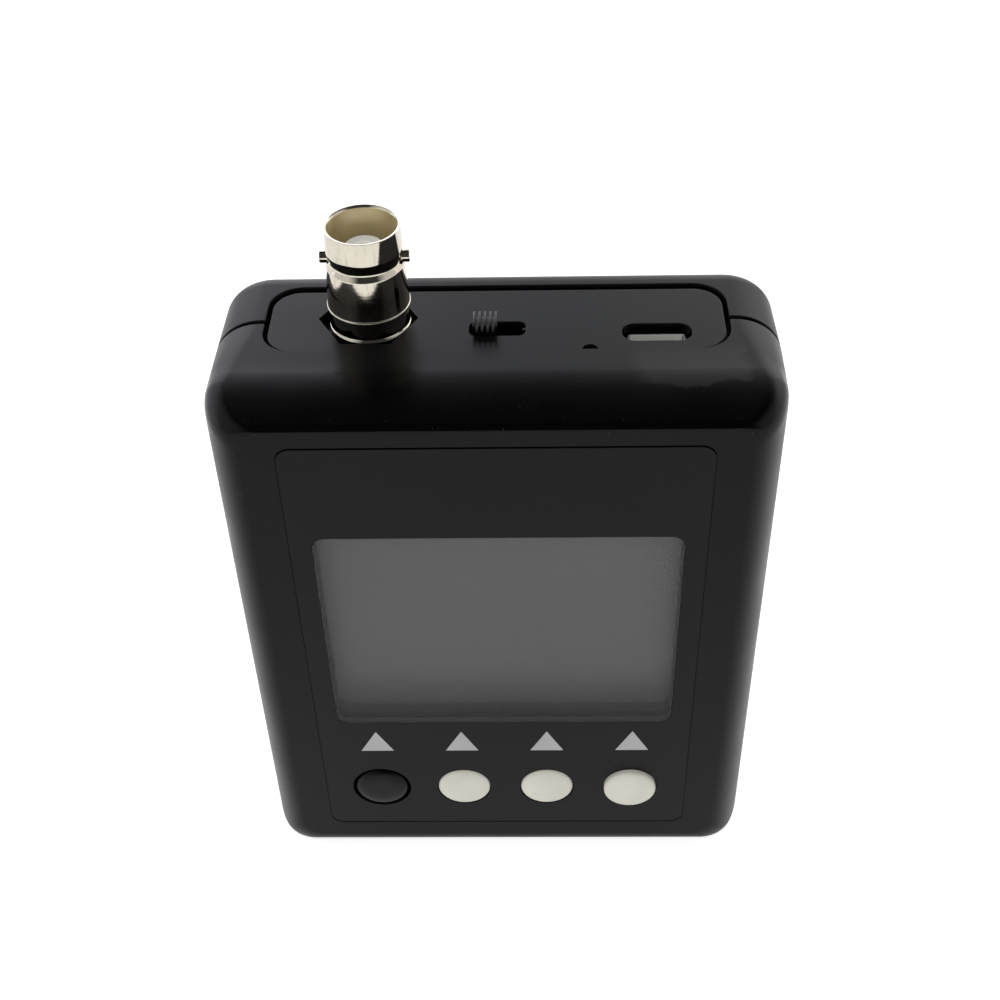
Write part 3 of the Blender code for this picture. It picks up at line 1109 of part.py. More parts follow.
def build_board_parts():
    """Chips, screen, oscillator, charger, capacitors and the charge lamp."""
    can = add_part("shield_can", CAN_X, CAN_Z, (CAN_WIDTH, CAN_LENGTH), CAN_HEIGHT, (TIN, 0.35, 1.0))
    inside = centred((CAN_X, CAN_Z), (CAN_WIDTH - 2 * CAN_SHEET, CAN_LENGTH - 2 * CAN_SHEET))
    cut(can, "can_hollow", prism(inside, "Y", BACK_PARTS_Y - OVERRUN, BACK_PARTS_Y + CAN_HEIGHT - CAN_SHEET))
    chip = (CHIP_BLACK, 0.5)
    add_part("counter_chip", CAN_X, CAN_Z, (COUNTER_CHIP_SIZE, COUNTER_CHIP_SIZE), COUNTER_CHIP_HEIGHT, chip)
    add_part("processor_chip", PROCESSOR_X, WINDOW_Z, (PROCESSOR_SIZE, PROCESSOR_SIZE),
             PROCESSOR_HEIGHT, chip, front=True)
    add_part("reference_oscillator", OSCILLATOR_X, BOARD_HIGH_Z - OSCILLATOR_DROP,
             (OSCILLATOR_WIDTH, OSCILLATOR_LENGTH), OSCILLATOR_HEIGHT, (TIN, 0.3, 1.0))
    add_part("charger_chip", CHARGER_X, BOARD_HIGH_Z - CHARGER_DROP, (CHARGER_WIDTH, CHARGER_LENGTH),
             CHARGER_HEIGHT, chip)
    add_part("charger_inductor", INDUCTOR_X, BOARD_HIGH_Z - INDUCTOR_DROP, (INDUCTOR_SIZE, INDUCTOR_SIZE),
             INDUCTOR_HEIGHT, (FOAM_GREY, 0.6))
    add_part("charge_lamp", LAMP_X, BOARD_HIGH_Z - LAMP_LENGTH / 2, (LAMP_WIDTH, LAMP_LENGTH), LAMP_HEIGHT,
             (LAMP_WHITE, 0.3), front=True)
    for index in range(CAPACITOR_COUNT):
        z = BOARD_HIGH_Z - CAPACITOR_DROP - index * CAPACITOR_PITCH
        add_part(f"filter_capacitor_{index + 1}", CAPACITOR_X, z, (CAPACITOR_WIDTH, CAPACITOR_LENGTH),
                 CAPACITOR_HEIGHT, (FILM_AMBER, 0.5))


def build_battery():
    """Battery on its pad, with the leads, plug and socket that join it to the board."""
    outline = centred((0, BATTERY_FRONT_Y + BATTERY_THICKNESS / 2), (BATTERY_WIDTH, BATTERY_THICKNESS),
                      BATTERY_RADIUS)
    make_object("battery", prism(outline, "Z", BATTERY_LOW_Z, BATTERY_TOP_Z),
                (BATTERY_BLUE, 0.4), True)
    pad = centred((0, BATTERY_Z), (BATTERY_WIDTH * PAD_SHARE, BATTERY_LENGTH * PAD_SHARE))
    make_object("battery_pad", prism(pad, "Y", PAD_FRONT_Y, PAD_BACK_Y), (FOAM_GREY, 0.9))
    plug_y = BACK_PARTS_Y + SOCKET_EDGE + PLUG_DEPTH / 2
    plug_low = (PLUG_X - PLUG_WIDTH / 2, plug_y - PLUG_DEPTH / 2, PLUG_LOW_Z)
    plug_high = (PLUG_X + PLUG_WIDTH / 2, plug_y + PLUG_DEPTH / 2, PLUG_HIGH_Z)
    make_object("battery_plug", box(plug_low, plug_high), (WHITE_PLASTIC, 0.5))
    socket_low = (plug_low[0] - SOCKET_EDGE, BACK_PARTS_Y, SOCKET_LOW_Z)
    socket_high = (plug_high[0] + SOCKET_EDGE, plug_high[1] + SOCKET_EDGE, SOCKET_LOW_Z + SOCKET_LENGTH)
    make_object("battery_socket", box(socket_low, socket_high), (WHITE_PLASTIC, 0.5))
    build_lead("battery_lead_red", PLUG_X + LEAD_SPACING / 2, plug_y, (LEAD_RED, 0.4))
    build_lead("battery_lead_black", PLUG_X - LEAD_SPACING / 2, plug_y, (CHIP_BLACK, 0.4))


def build_lead(name, x, plug_y, finish):
    """A battery lead from the plug down to the battery's upper end, on one smooth curve."""
    start = Vector((x, plug_y, PLUG_LOW_Z - FIT))
    end = Vector((x, BATTERY_BACK_Y - BATTERY_THICKNESS / 2, BATTERY_TOP_Z + FIT))
    handle_a = start - Vector((0, 0, LEAD_SAG))
    handle_b = end + Vector((0, 0, LEAD_SAG))
    curve = bpy.data.curves.new(name, "CURVE")
    curve.dimensions = "3D"
    curve.bevel_depth = LEAD_DIAMETER / 2
    curve.bevel_resolution = LEAD_SIDES
    curve.use_fill_caps = True
    spline = curve.splines.new("POLY")
    spline.points.add(LEAD_POINTS - 1)
    for index, point in enumerate(spline.points):
        t = index / (LEAD_POINTS - 1)
        place = ((1 - t) ** 3 * start + 3 * (1 - t) ** 2 * t * handle_a + 3 * (1 - t) * t ** 2 * handle_b
                 + t ** 3 * end)
        point.co = (*place, 1.0)
    item = bpy.data.objects.new(name, curve)
    bpy.context.collection.objects.link(item)
    curve.materials.append(make_material(name, *finish))


def build():
    """Build every part of the frequency counter."""
    clear_scene()
    build_front_shell()
    build_back_shell()
    build_end_panel()
    build_front_label()
    build_display()
    build_board()
    build_all_screws()
    build_buttons()
    build_power_switch()
    build_usb_socket()
    build_antenna_jack()
    build_board_parts()
    build_battery()


build()
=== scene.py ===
"""Looks of the frequency counter: finely modelled pieces, materials, light and camera.

Lengths are in metres and written in millimetres times MM. X runs to the right of the front, Y from the
front to the back, and Z up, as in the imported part.
"""
from math import cos, pi, radians, sin, sqrt

import bmesh
import bpy
from mathutils import Matrix, Vector


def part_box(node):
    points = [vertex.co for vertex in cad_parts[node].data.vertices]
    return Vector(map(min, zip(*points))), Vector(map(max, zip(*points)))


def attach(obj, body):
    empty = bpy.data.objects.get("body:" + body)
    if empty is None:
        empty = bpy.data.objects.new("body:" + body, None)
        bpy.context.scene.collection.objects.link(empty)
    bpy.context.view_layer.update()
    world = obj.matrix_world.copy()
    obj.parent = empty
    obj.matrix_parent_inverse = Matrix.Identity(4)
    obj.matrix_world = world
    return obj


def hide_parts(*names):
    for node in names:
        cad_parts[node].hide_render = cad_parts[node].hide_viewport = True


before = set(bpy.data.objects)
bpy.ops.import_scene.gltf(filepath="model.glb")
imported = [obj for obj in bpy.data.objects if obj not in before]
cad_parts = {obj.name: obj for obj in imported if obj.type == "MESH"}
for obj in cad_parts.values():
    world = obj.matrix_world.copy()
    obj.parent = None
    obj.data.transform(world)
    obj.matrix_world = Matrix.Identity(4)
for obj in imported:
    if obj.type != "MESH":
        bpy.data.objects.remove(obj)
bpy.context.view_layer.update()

MM = 0.001

# Fineness of the meshes
CORNER_STEPS = 14
EDGE_STEPS = 30
RIM_STEPS = 6
ROUND_SIDES = 96
FINE_SIDES = 160
SMALL_SIDES = 48
THREAD_SIDES = 64
PATH_STEPS = 5
REACH_SHARE = 0.45
RIM_TURN = radians(87)
SHARP_ANGLE = radians(32)
BEVEL_ANGLE = radians(40)

# Fits, as in the part
FIT = 0.3 * MM
OVERRUN = 1.0 * MM
SINK = 0.5 * MM
WALL = 2.2 * MM

# Case, from the frame and from the part's values
CASE_LOW, CASE_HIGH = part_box("front_shell")
FRONT_Y = CASE_LOW.y
BACK_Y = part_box("back_shell")[1].y
CASE_WIDTH = 72.1 * MM
CASE_HEIGHT = CASE_HIGH.z
PARTING_Y = 3.7 * MM
PARTING_GAP = 0.5 * MM
PARTING_ROUND = 0.22 * MM
LIP_THICKNESS = 1.0 * MM
LIP_HEIGHT = 1.2 * MM
FRONT_DRAFT_SHARE = 0.08
BACK_DRAFT_SHARE = 0.05
PARTING_CORNER_RADIUS = 6.5 * MM
FRONT_CORNER_RADIUS = 2.9 * MM
BACK_CORNER_RADIUS = 5.7 * MM
FRONT_SIDE_REACH = 4.3 * MM
FRONT_SIDE_DEPTH = 7.9 * MM
FRONT_TOP_FALL = 1.15 * MM
FRONT_TOP_DEPTH = 9.6 * MM
FRONT_TOP_ROUND = 0.7 * MM
FRONT_TOP_CURVE = 1.5
FRONT_TOP_SHARES = (0.25, 0.5, 0.75, 1)
FRONT_BASE_REACH = 3.4 * MM
FRONT_BASE_DEPTH = 3.4 * MM
BACK_SIDE_REACH = 4.5 * MM
BACK_SIDE_DEPTH = 4.5 * MM
BACK_END_REACH = 4.2 * MM
BACK_END_DEPTH = 4.2 * MM
INNER_FRONT_Y = FRONT_Y + WALL
INNER_BACK_Y = BACK_Y - WALL
INNER_TOP_Z = CASE_HEIGHT - WALL

# Case screws
CASE_SCREW_X = 27.5 * MM
CASE_SCREW_HEIGHTS = (9.6 * MM, 73.4 * MM)
CASE_SCREW_RADIUS = 1.25 * MM
CASE_SCREW_HEAD_RADIUS = 2.1 * MM
CASE_SCREW_HEAD_HEIGHT = 1.7 * MM
HEAD_EDGE = 0.1 * MM
HEAD_SIDE_SHARE = 0.35
HEAD_DOME_TURN = radians(80)
HEAD_DOME_CURVE = 0.6
TIP_SHARE = 0.4
SCREW_RECESS_DEPTH = 7.5 * MM
SCREW_RECESS_RADIUS = CASE_SCREW_HEAD_RADIUS + FIT
BOSS_WALL = 1.3 * MM
THREAD_PITCH = 1.0 * MM
THREAD_DEPTH = 0.2 * MM
CROSS_LENGTH = 2.7 * MM
CROSS_WIDTH = 0.55 * MM
CROSS_DEPTH = 1.0 * MM

# Label, window and pane
LABEL_LOW, LABEL_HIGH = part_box("front_label")
LABEL_RADIUS = 1.6 * MM
LABEL_ROUND = 0.05 * MM
LABEL_SIDE_GROW = 0.28 * MM   # closer to its recess than in the part
RECESS_GAP = FIT
LABEL_FACE_Y = FRONT_Y + 0.06 * MM
WINDOW_CENTRE = (0.0, 47.0 * MM)
WINDOW_SIZE = (46.4 * MM, 35.5 * MM)
WINDOW_RADIUS = 1.8 * MM
PANE_EDGE = 0.8 * MM
SHROUD_RIM = 1.1 * MM
SHROUD_END_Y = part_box("display_glass")[0].y - FIT
PANE_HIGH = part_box("display_window")[1]
PANE_GAP = 0.06 * MM
TRIANGLE_BASE_Z = 23.15 * MM
TRIANGLE_HEIGHT = 4.15 * MM
TRIANGLE_WIDTH = 4.65 * MM
TRIANGLE_ROUND = 0.12 * MM
INK_THICKNESS = 0.03 * MM

# Buttons
BUTTON_PLACES = [index * 12.0 * MM for index in (-1.5, -0.5, 0.5, 1.5)]
BUTTON_Z = 14.7 * MM
BUTTON_HOLE_RADIUS = 4.2 * MM
LABEL_HOLE_RADIUS = 3.88 * MM
CAP_RADIUS = 3.75 * MM
CAP_DOME = 0.8 * MM
CAP_FLANGE_RADIUS = 4.65 * MM
CAP_FLANGE_THICKNESS = 0.8 * MM
HOLE_ROUND = 0.18 * MM

# End panel
PANEL_LOW = (-28.35 * MM, -2.55 * MM)
PANEL_HIGH = (28.35 * MM, 10.15 * MM)
PANEL_RADIUS = 3.6 * MM
PANEL_SIDE_GAP = 0.6 * MM
PANEL_BACK_GAP = 1.0 * MM
PANEL_FRONT_GAP = 0.002 * MM
PANEL_PLATE = 1.8 * MM
PANEL_ROUND = 0.2 * MM
FLANGE_EDGE = 1.4 * MM
FLANGE_LOW_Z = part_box("end_panel")[0].z
FLANGE_TOP_Z = FLANGE_LOW_Z + 1.2 * MM
JACK_PAD_X = -7.75 * MM
PANEL_RIM = 1.7 * MM
SLOT_CENTRE = (0.16 * MM, 1.8 * MM)
SLOT_SIZE = (7.0 * MM, 2.9 * MM)
SLOT_TAB = (0.9 * MM, 0.35 * MM)
LAMP_CENTRE = (11.5 * MM, PANEL_LOW[1])
LAMP_HOLE_RADIUS = 0.95 * MM
USB_CENTRE = (19.8 * MM, 0.8 * MM)
USB_OPENING = (8.6 * MM, 3.5 * MM)

# Charging socket
USB_NARROW_WIDTH = 6.0 * MM
USB_SLANT_DEPTH = 1.1 * MM
USB_CORNER_RADIUS = 1.3 * MM
USB_SHEET = 0.3 * MM
USB_FLOOR = 1.0 * MM
USB_RIM_DROP = 0.35 * MM
USB_RIM_ROUND = 0.08 * MM
USB_MOUTH_ROUND = 0.12 * MM
USB_WALL_NORMAL = -0.9

# Antenna jack
JACK_CENTRE = (-15.75 * MM, 4.3 * MM)
JACK_TOP_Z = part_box("antenna_jack_body")[1].z
JACK_POCKET_CENTRE = (-16.0 * MM, 4.3 * MM)
JACK_POCKET_CORNERS = 12.45 * MM
JACK_POCKET_FLATS = 10.7 * MM
JACK_POCKET_DEPTH = 1.5 * MM
JACK_STEM_RADIUS = 4.4 * MM
JACK_ROUND = 0.12 * MM
BORE_REACH = 4.2 * MM
BORE_DEPTH = 9.0 * MM
LUG_RADIUS = 0.78 * MM
LUG_SPAN = 11.0 * MM
LUG_DEPTH = 4.45 * MM
INSULATOR_BORE = 0.95 * MM
INSULATOR_RADIUS = 2.4 * MM
INSULATOR_ROUND = 0.15 * MM
CONTACT_RADIUS = 0.65 * MM
CONTACT_HOLLOW = 2.0 * MM
CONTACT_EDGE = 0.1 * MM
CONTACT_MOUTH_EDGE = 0.12 * MM

# Switch knob
KNOB_LOW, KNOB_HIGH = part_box("power_switch_knob")
KNOB_FOOT_Z = CASE_HEIGHT + FIT
KNOB_RIDGES = 5
KNOB_RIDGE_HEIGHT = 0.9 * MM
KNOB_RIDGE_ROUND = 0.07 * MM
KNOB_BEVEL = 0.05 * MM
KNOB_STEM_SIZE = (2.6 * MM, 2.3 * MM)
KNOB_TOP_Z = KNOB_HIGH.z - 0.15 * MM
KNOB_REAR_Y = KNOB_HIGH.y - 0.35 * MM

# Camera, where the photograph was taken from
CAMERA_PLACE = Vector((5.013, -150.393, 192.958)) * MM
CAMERA_YAW = radians(-1.948)
CAMERA_PITCH = radians(42.2)
CAMERA_ROLL = radians(-1.735)
LENS = 54.23
SENSOR_WIDTH = 36

# Patterns in the materials: their sizes, and the stretches of noise that show
PATCH_SIZE = 9.0 * MM
SPECK_SIZE = 0.45 * MM
SMUDGE_SIZE = 3.0 * MM
SCRATCH_SIZE = 0.5 * MM
SCRATCH_STRETCH = (1.0, 1.0, 0.12)
SMEAR_SIZE = 18.0 * MM
CLOUD_SIZE = 14.0 * MM
FLOOR_GRAIN = 60.0 * MM
NOISE_STRETCH = (0.3, 0.7)
SPECK_STRETCH = (0.715, 0.775)
STAIN_STRETCH = (0.52, 0.72)
SOFT_DEPTH = 1.0 * MM

# Wear, a lighter tint and a painted sheen on the top end: the stretches over which they begin or end
WORN_ABOVE = (CASE_HEIGHT - 4.0 * MM, CASE_HEIGHT - 2.5 * MM)
WORN_BEFORE = (-4.0 * MM, -7.5 * MM)
EDGE_ROUGHNESS_SHARE = 0.5
TOP_TINT_ABOVE = (CASE_HEIGHT - 0.6 * MM, CASE_HEIGHT - 0.15 * MM)
TOP_TINT_BEHIND = (-10.5 * MM, -5.0 * MM)
TINT_WANDER_SIZE = 5.0 * MM
TINT_WANDER = 0.8 * MM
TOP_TINT_LEVEL = 0.005
# Painted sheen: a lighter patch on the top end by its right front edge, where the worn edge shines.
SHEEN_LEFT = (16.0 * MM, 18.0 * MM)
SHEEN_RIGHT = (30.5 * MM, 29.5 * MM)
SHEEN_FRONT = (-9.6 * MM, -9.1 * MM)
SHEEN_BACK = (-1.5 * MM, -3.5 * MM)
SHEEN_LEVEL = 0.016

# Light and floor. A stop of the sky is an angle, from before the object over it to behind it, and a
# brightness.
SKY_BRIGHTEST = 2.4
SKY_STOPS = ((0, 0.05), (70, 0.06), (79, 0.06), (87, 0.04), (94, 0.03), (105, 0.02), (120, 0.03),
             (128, 0.08), (132, 0.35), (137, 1.4), (143, 2.0), (160, 2.0), (180, 1.2))
SIDE_WALL_LEVEL = 0.9
LEFT_WALL = (-0.3, -0.7)
RIGHT_WALL = (0.58, 0.88)
RIGHT_WALL_SHARE = 0.9
BEHIND_SHARES = (0.66, 0.76)
LEFT_TO_MIDDLE = (-0.17, -0.04)
MIDDLE_TO_RIGHT = (0.03, 0.14)
LEFT_TINT = (1.7, 1.7, 1.86, 1.0)
MIDDLE_TINT = (0.74, 0.77, 0.82, 1.0)
RIGHT_TINT = (1.30, 1.29, 1.27, 1.0)
FLOOR_SIZE = 6.0
FLOOR_GLOW = 0.62
LAMP_PLACE = (0.1, -0.9, 1.1)
LAMP_SIZE = 0.8
LAMP_POWER = 9.0


# Outlines

def rounded_rectangle(centre, size, radius):
    """Returns a function that gives the points of a round-cornered rectangle, grown by a distance."""
    def outline(grow=0.0):
        half_width = size[0] / 2 + grow
        half_height = size[1] / 2 + grow
        corner = max(radius + grow, FIT / 10)
        points = []
        for quarter, (side_x, side_y) in enumerate(((1, 1), (-1, 1), (-1, -1), (1, -1))):
            corner_x = centre[0] + side_x * (half_width - corner)
            corner_y = centre[1] + side_y * (half_height - corner)
            for step in range(CORNER_STEPS + 1):
                angle = (quarter + step / CORNER_STEPS) * pi / 2
                points.append((corner_x + corner * cos(angle), corner_y + corner * sin(angle)))
        return points
    return outline


def between(low, high, radius):
    """The same for a rectangle given by its corners."""
    centre = ((low[0] + high[0]) / 2, (low[1] + high[1]) / 2)
    return rounded_rectangle(centre, (high[0] - low[0], high[1] - low[1]), radius)


def round_outline(centre, radius, sides=ROUND_SIDES):
    """Returns a function that gives the points of a circle, grown by a distance."""
    def outline(grow=0.0):
        turns = [2 * pi * side / sides for side in range(sides)]
        return [(centre[0] + (radius + grow) * cos(turn), centre[1] + (radius + grow) * sin(turn))
                for turn in turns]
    return outline


def pocket_outline(grow=0.0):
    """The hexagon of the jack's pocket, grown by a distance."""
    half_corners = JACK_POCKET_CORNERS / 2 + grow / cos(pi / 6)
    half_flats = JACK_POCKET_FLATS / 2 + grow
    corners = [(half_corners, 0), (half_corners / 2, half_flats), (-half_corners / 2, half_flats),
               (-half_corners, 0), (-half_corners / 2, -half_flats), (half_corners / 2, -half_flats)]
    return [(JACK_POCKET_CENTRE[0] + x, JACK_POCKET_CENTRE[1] + y) for x, y in corners]


def smooth_path(points, radius, steps=PATH_STEPS):
    """A closed path whose corners are rounded off, as far as its sides are long enough."""
    result = []
    for index, point in enumerate(points):
        corner = Vector(point)
        before = Vector(points[index - 1]) - corner
        after = Vector(points[(index + 1) % len(points)]) - corner
        reach = min(radius, before.length * REACH_SHARE, after.length * REACH_SHARE)
        start = corner + before.normalized() * reach
        end = corner + after.normalized() * reach
        for step in range(steps + 1):
            share = step / steps
            middle = corner * 2 * share * (1 - share)
            result.append(tuple(start * (1 - share) ** 2 + middle + end * share ** 2))
    return result


# Meshes

def lift(point, axis, depth):
    """A point of an outline at a depth along an axis."""
    if axis == "Z":
        return (point[0], point[1], depth)
    if axis == "Y":
        return (point[0], depth, point[1])
    return (depth, point[0], point[1])


def add_loft(bm, rings, closed=False):
    """Joins rings of as many points with faces, and closes the ends unless the rings form a loop."""
    loops = [[bm.verts.new(point) for point in ring] for ring in rings]
    pairs = list(zip(loops, loops[1:]))
    if closed:
        pairs.append((loops[-1], loops[0]))
    for lower, upper in pairs:
        for index in range(len(lower)):
            following = (index + 1) % len(lower)
            bm.faces.new((lower[index], lower[following], upper[following], upper[index]))
    if not closed:
        bm.faces.new(loops[0])
        bm.faces.new(loops[-1])


def loft(rings, closed=False):
    """A body over rings."""
    bm = bmesh.new()
    add_loft(bm, rings, closed)
    return bm


def add_levels(bm, outline, axis, levels):
    """A body whose section is an outline, grown by its own distance at each depth."""
    add_loft(bm, [[lift(point, axis, depth) for point in outline(grow)] for depth, grow in levels])


def levels_body(outline, axis, levels):
    """The same as a mesh of its own."""
    bm = bmesh.new()
    add_levels(bm, outline, axis, levels)
    return bm


def prism(outline, axis, low, high, grow=0.0):
    """A body with the same section all along, from low to high."""
    return levels_body(outline, axis, [(low, grow), (high, grow)])


def rim_turns(whole=pi / 2):
    """Angles round a rounded edge, in even steps up to the whole turn."""
    return [step / RIM_STEPS * whole for step in range(RIM_STEPS + 1)]


def plate_levels(low, high, low_round=0.0, high_round=0.0):
    """Depths and growths of a plate with rounded edges."""
    levels = []
    for face, inward, rounding in ((low, 1, low_round), (high, -1, high_round)):
        side = [(face, 0.0)]
        if rounding:
            side = [(face + inward * rounding * (1 - cos(turn)), -rounding * (1 - sin(turn)))
                    for turn in rim_turns()]
        levels += side if inward > 0 else side[::-1]
    return levels


def hole_levels(floor, surface, rounding):
    """Depths and growths of a cutter whose hole has a rounded rim at the surface."""
    outward = 1 if surface > floor else -1
    levels = [(floor, 0.0)]
    for turn in rim_turns(RIM_TURN):
        levels.append((surface - outward * rounding * (1 - sin(turn)), rounding * (1 - cos(turn))))
    levels.append((surface + outward * OVERRUN, levels[-1][1]))
    return levels


def turned(profile, centre, axis, closed=False, sides=FINE_SIDES):
    """A body of revolution about an axis through centre, from radius and depth pairs."""
    return loft([[lift(point, axis, depth) for point in round_outline(centre, radius, sides)()]
                 for radius, depth in profile], closed)


def box_body(low, high):
    """A box between two corners."""
    outline = [(low[0], low[1]), (high[0], low[1]), (high[0], high[1]), (low[0], high[1])]
    return loft([[(*point, depth) for point in outline] for depth in (low[2], high[2])])


def new_object(name, bm):
    """An object from a mesh whose faces look outwards."""
    bmesh.ops.recalc_face_normals(bm, faces=bm.faces)
    mesh = bpy.data.meshes.new(name)
    bm.to_mesh(mesh)
    bm.free()
    item = bpy.data.objects.new(name, mesh)
    bpy.context.scene.collection.objects.link(item)
    return item


def apply_modifiers(piece):
    """Puts the piece's modifiers into its mesh."""
    bpy.context.view_layer.objects.active = piece
    for modifier in list(piece.modifiers):
        bpy.ops.object.modifier_apply(modifier=modifier.name)


def use_tool(piece, bm, operation):
    """Joins a body to a piece, or cuts it from the piece."""
    tool = new_object("tool", bm)
    modifier = piece.modifiers.new("tool", "BOOLEAN")
    modifier.operation = operation
    modifier.solver = "EXACT"
    modifier.object = tool
    apply_modifiers(piece)
    bpy.data.objects.remove(tool)


def cut(piece, bm):
    """Cuts a body from a piece."""
    use_tool(piece, bm, "DIFFERENCE")


def join(piece, bm):
    """Joins a body to a piece."""
    use_tool(piece, bm, "UNION")


def bevel(piece, width, segments=3):
    """Rounds the sharp edges of a piece."""
    modifier = piece.modifiers.new("bevel", "BEVEL")
    modifier.width = width
    modifier.segments = segments
    modifier.limit_method = "ANGLE"
    modifier.angle_limit = BEVEL_ANGLE
    apply_modifiers(piece)


def dress(piece, body, material, slot, *nodes):
    """Gives a piece its shading, material and body, and hides the nodes that it stands for."""
    piece.data.shade_smooth()
    piece.data.set_sharp_from_angle(angle=SHARP_ANGLE)
    normals = piece.modifiers.new("normals", "WEIGHTED_NORMAL")
    normals.keep_sharp = True
    piece.data.materials.clear()
    piece.data.materials.append(material)
    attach(piece, body)
    if nodes:
        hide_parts(*nodes)
    return piece


# Case

def edge_inset(reach, depth, distance):
    """How far an elliptical edge is still drawn in, at a distance behind its face."""
    share = min(max(distance / depth, 0), 1)
    return reach * (1 - sqrt(1 - (1 - share) ** 2))


def front_top_inset(y, inset):
    """How far the top end lies below its height near the front, drawn in from its surface by inset."""
    behind = y - FRONT_Y
    fall = FRONT_TOP_FALL * (1 - min(behind / FRONT_TOP_DEPTH, 1)) ** FRONT_TOP_CURVE
    if inset < FRONT_TOP_ROUND:
        rounding = FRONT_TOP_ROUND - inset
        fall += edge_inset(rounding, rounding, behind - inset)
    return fall


def case_ring(y, inset):
    """Points round the case at a depth y, drawn in from its surface by inset."""
    front = y - FRONT_Y - inset
    back = BACK_Y - inset - y
    side = inset + edge_inset(FRONT_SIDE_REACH - inset, FRONT_SIDE_DEPTH - inset, front)
    side += edge_inset(BACK_SIDE_REACH - inset, BACK_SIDE_DEPTH - inset, back)
    end = inset + edge_inset(BACK_END_REACH - inset, BACK_END_DEPTH - inset, back)
    top = end + front_top_inset(y, inset)
    base = end + edge_inset(FRONT_BASE_REACH - inset, FRONT_BASE_DEPTH - inset, front)
    if y < PARTING_Y:
        draft = FRONT_DRAFT_SHARE * (PARTING_Y - y)
        share = (PARTING_Y - y) / (PARTING_Y - FRONT_Y - FRONT_SIDE_DEPTH)
        end_radius = FRONT_CORNER_RADIUS
    else:
        draft = BACK_DRAFT_SHARE * (y - PARTING_Y)
        share = (y - PARTING_Y) / (BACK_Y - BACK_SIDE_DEPTH - PARTING_Y)
        end_radius = BACK_CORNER_RADIUS
    radius = PARTING_CORNER_RADIUS + (end_radius - PARTING_CORNER_RADIUS) * min(share, 1) - inset
    half_width = CASE_WIDTH / 2 - side - draft
    outline = between((-half_width, base), (half_width, CASE_HEIGHT - top), radius)
    return [lift(point, "Y", y) for point in outline()]


def edge_depths(depth):
    """Distances behind a face at which a rounded edge of that depth gets its rings."""
    return [depth * (1 - cos(step / EDGE_STEPS * pi / 2)) for step in range(EDGE_STEPS + 1)]


def rim_rings(edge, inward):
    """Rings of the rounded rim beside the parting line, up to the edge."""
    return [case_ring(edge + inward * PARTING_ROUND * (1 - sin(turn)), PARTING_ROUND * (1 - cos(turn)))
            for turn in rim_turns()]


def front_skin():
    """The hollow front half, with its lip."""
    edge = PARTING_Y - PARTING_GAP / 2
    lip_end = PARTING_Y + LIP_HEIGHT
    lip_inset = WALL - LIP_THICKNESS
    rings = [case_ring(FRONT_Y + distance, 0) for distance in edge_depths(FRONT_SIDE_DEPTH)]
    rings += [case_ring(FRONT_Y + FRONT_SIDE_DEPTH + share * (FRONT_TOP_DEPTH - FRONT_SIDE_DEPTH), 0)
              for share in FRONT_TOP_SHARES]
    rings += rim_rings(edge, -1)
    rings += [case_ring(edge, lip_inset), case_ring(lip_end, lip_inset), case_ring(lip_end, WALL)]
    rings += [case_ring(INNER_FRONT_Y + distance, WALL)
              for distance in reversed(edge_depths(FRONT_SIDE_DEPTH - WALL))]
    return loft(rings)


def back_skin():
    """The hollow back half, with the rebate for the lip."""
    edge = PARTING_Y + PARTING_GAP / 2
    rebate_inset = WALL - LIP_THICKNESS - FIT
    rebate_end = PARTING_Y + LIP_HEIGHT + FIT
    rings = [case_ring(INNER_BACK_Y - distance, WALL) for distance in edge_depths(BACK_SIDE_DEPTH - WALL)]
    rings += [case_ring(rebate_end, WALL), case_ring(rebate_end, rebate_inset)]
    rings.append(case_ring(edge, rebate_inset))
    rings += reversed(rim_rings(edge, 1))
    rings += [case_ring(BACK_Y - distance, 0) for distance in reversed(edge_depths(BACK_SIDE_DEPTH))]
    return loft(rings)


def cylinders(places, radius, low, high):
    """Cylinders along Y at places given by X and Z."""
    bm = bmesh.new()
    for place in places:
        add_levels(bm, round_outline(place, radius), "Y", [(low, 0), (high, 0)])
    return bm


def screw_places():
    """X and Z of the four case screws, in the order of their nodes."""
    return [(side * CASE_SCREW_X, z) for side in (-1, 1) for z in CASE_SCREW_HEIGHTS]


def panel_outline(grow=0.0):
    """The end panel's plate, whose front edge stays in place when the rest grows."""
    return between((PANEL_LOW[0] - grow, PANEL_LOW[1]), (PANEL_HIGH[0] + grow, PANEL_HIGH[1] + grow),
                   PANEL_RADIUS + grow)()


def opening_outline(grow=0.0):
    """The panel's opening in the shells: closed up at the front, with a groove at the sides and back."""
    side = PANEL_SIDE_GAP + grow
    return between((PANEL_LOW[0] - side, PANEL_LOW[1] - PANEL_FRONT_GAP),
                   (PANEL_HIGH[0] + side, PANEL_HIGH[1] + PANEL_BACK_GAP + grow), PANEL_RADIUS + side)()


def panel_opening():
    """Cutter for the end panel's opening in both shells, with a rounded rim."""
    return levels_body(opening_outline, "Z", hole_levels(INNER_TOP_Z - OVERRUN, CASE_HEIGHT, PANEL_ROUND))


def window_outline(grow=0.0):
    """The window's opening, grown by a distance."""
    return rounded_rectangle(WINDOW_CENTRE, WINDOW_SIZE, WINDOW_RADIUS)(grow)


def recess_outline(grow=0.0):
    """The recess of the label in the front shell."""
    edge = RECESS_GAP + grow
    return between((LABEL_LOW.x - edge, LABEL_LOW.z - edge), (LABEL_HIGH.x + edge, LABEL_HIGH.z + edge),
                   LABEL_RADIUS + edge)()


def label_outline(grow=0.0):
    """The overlay, which nearly touches its recess everywhere but along the upper edge."""
    edge = LABEL_SIDE_GROW + grow
    return between((LABEL_LOW.x - edge, LABEL_LOW.z - edge), (LABEL_HIGH.x + edge, LABEL_HIGH.z + grow),
                   LABEL_RADIUS + edge)()


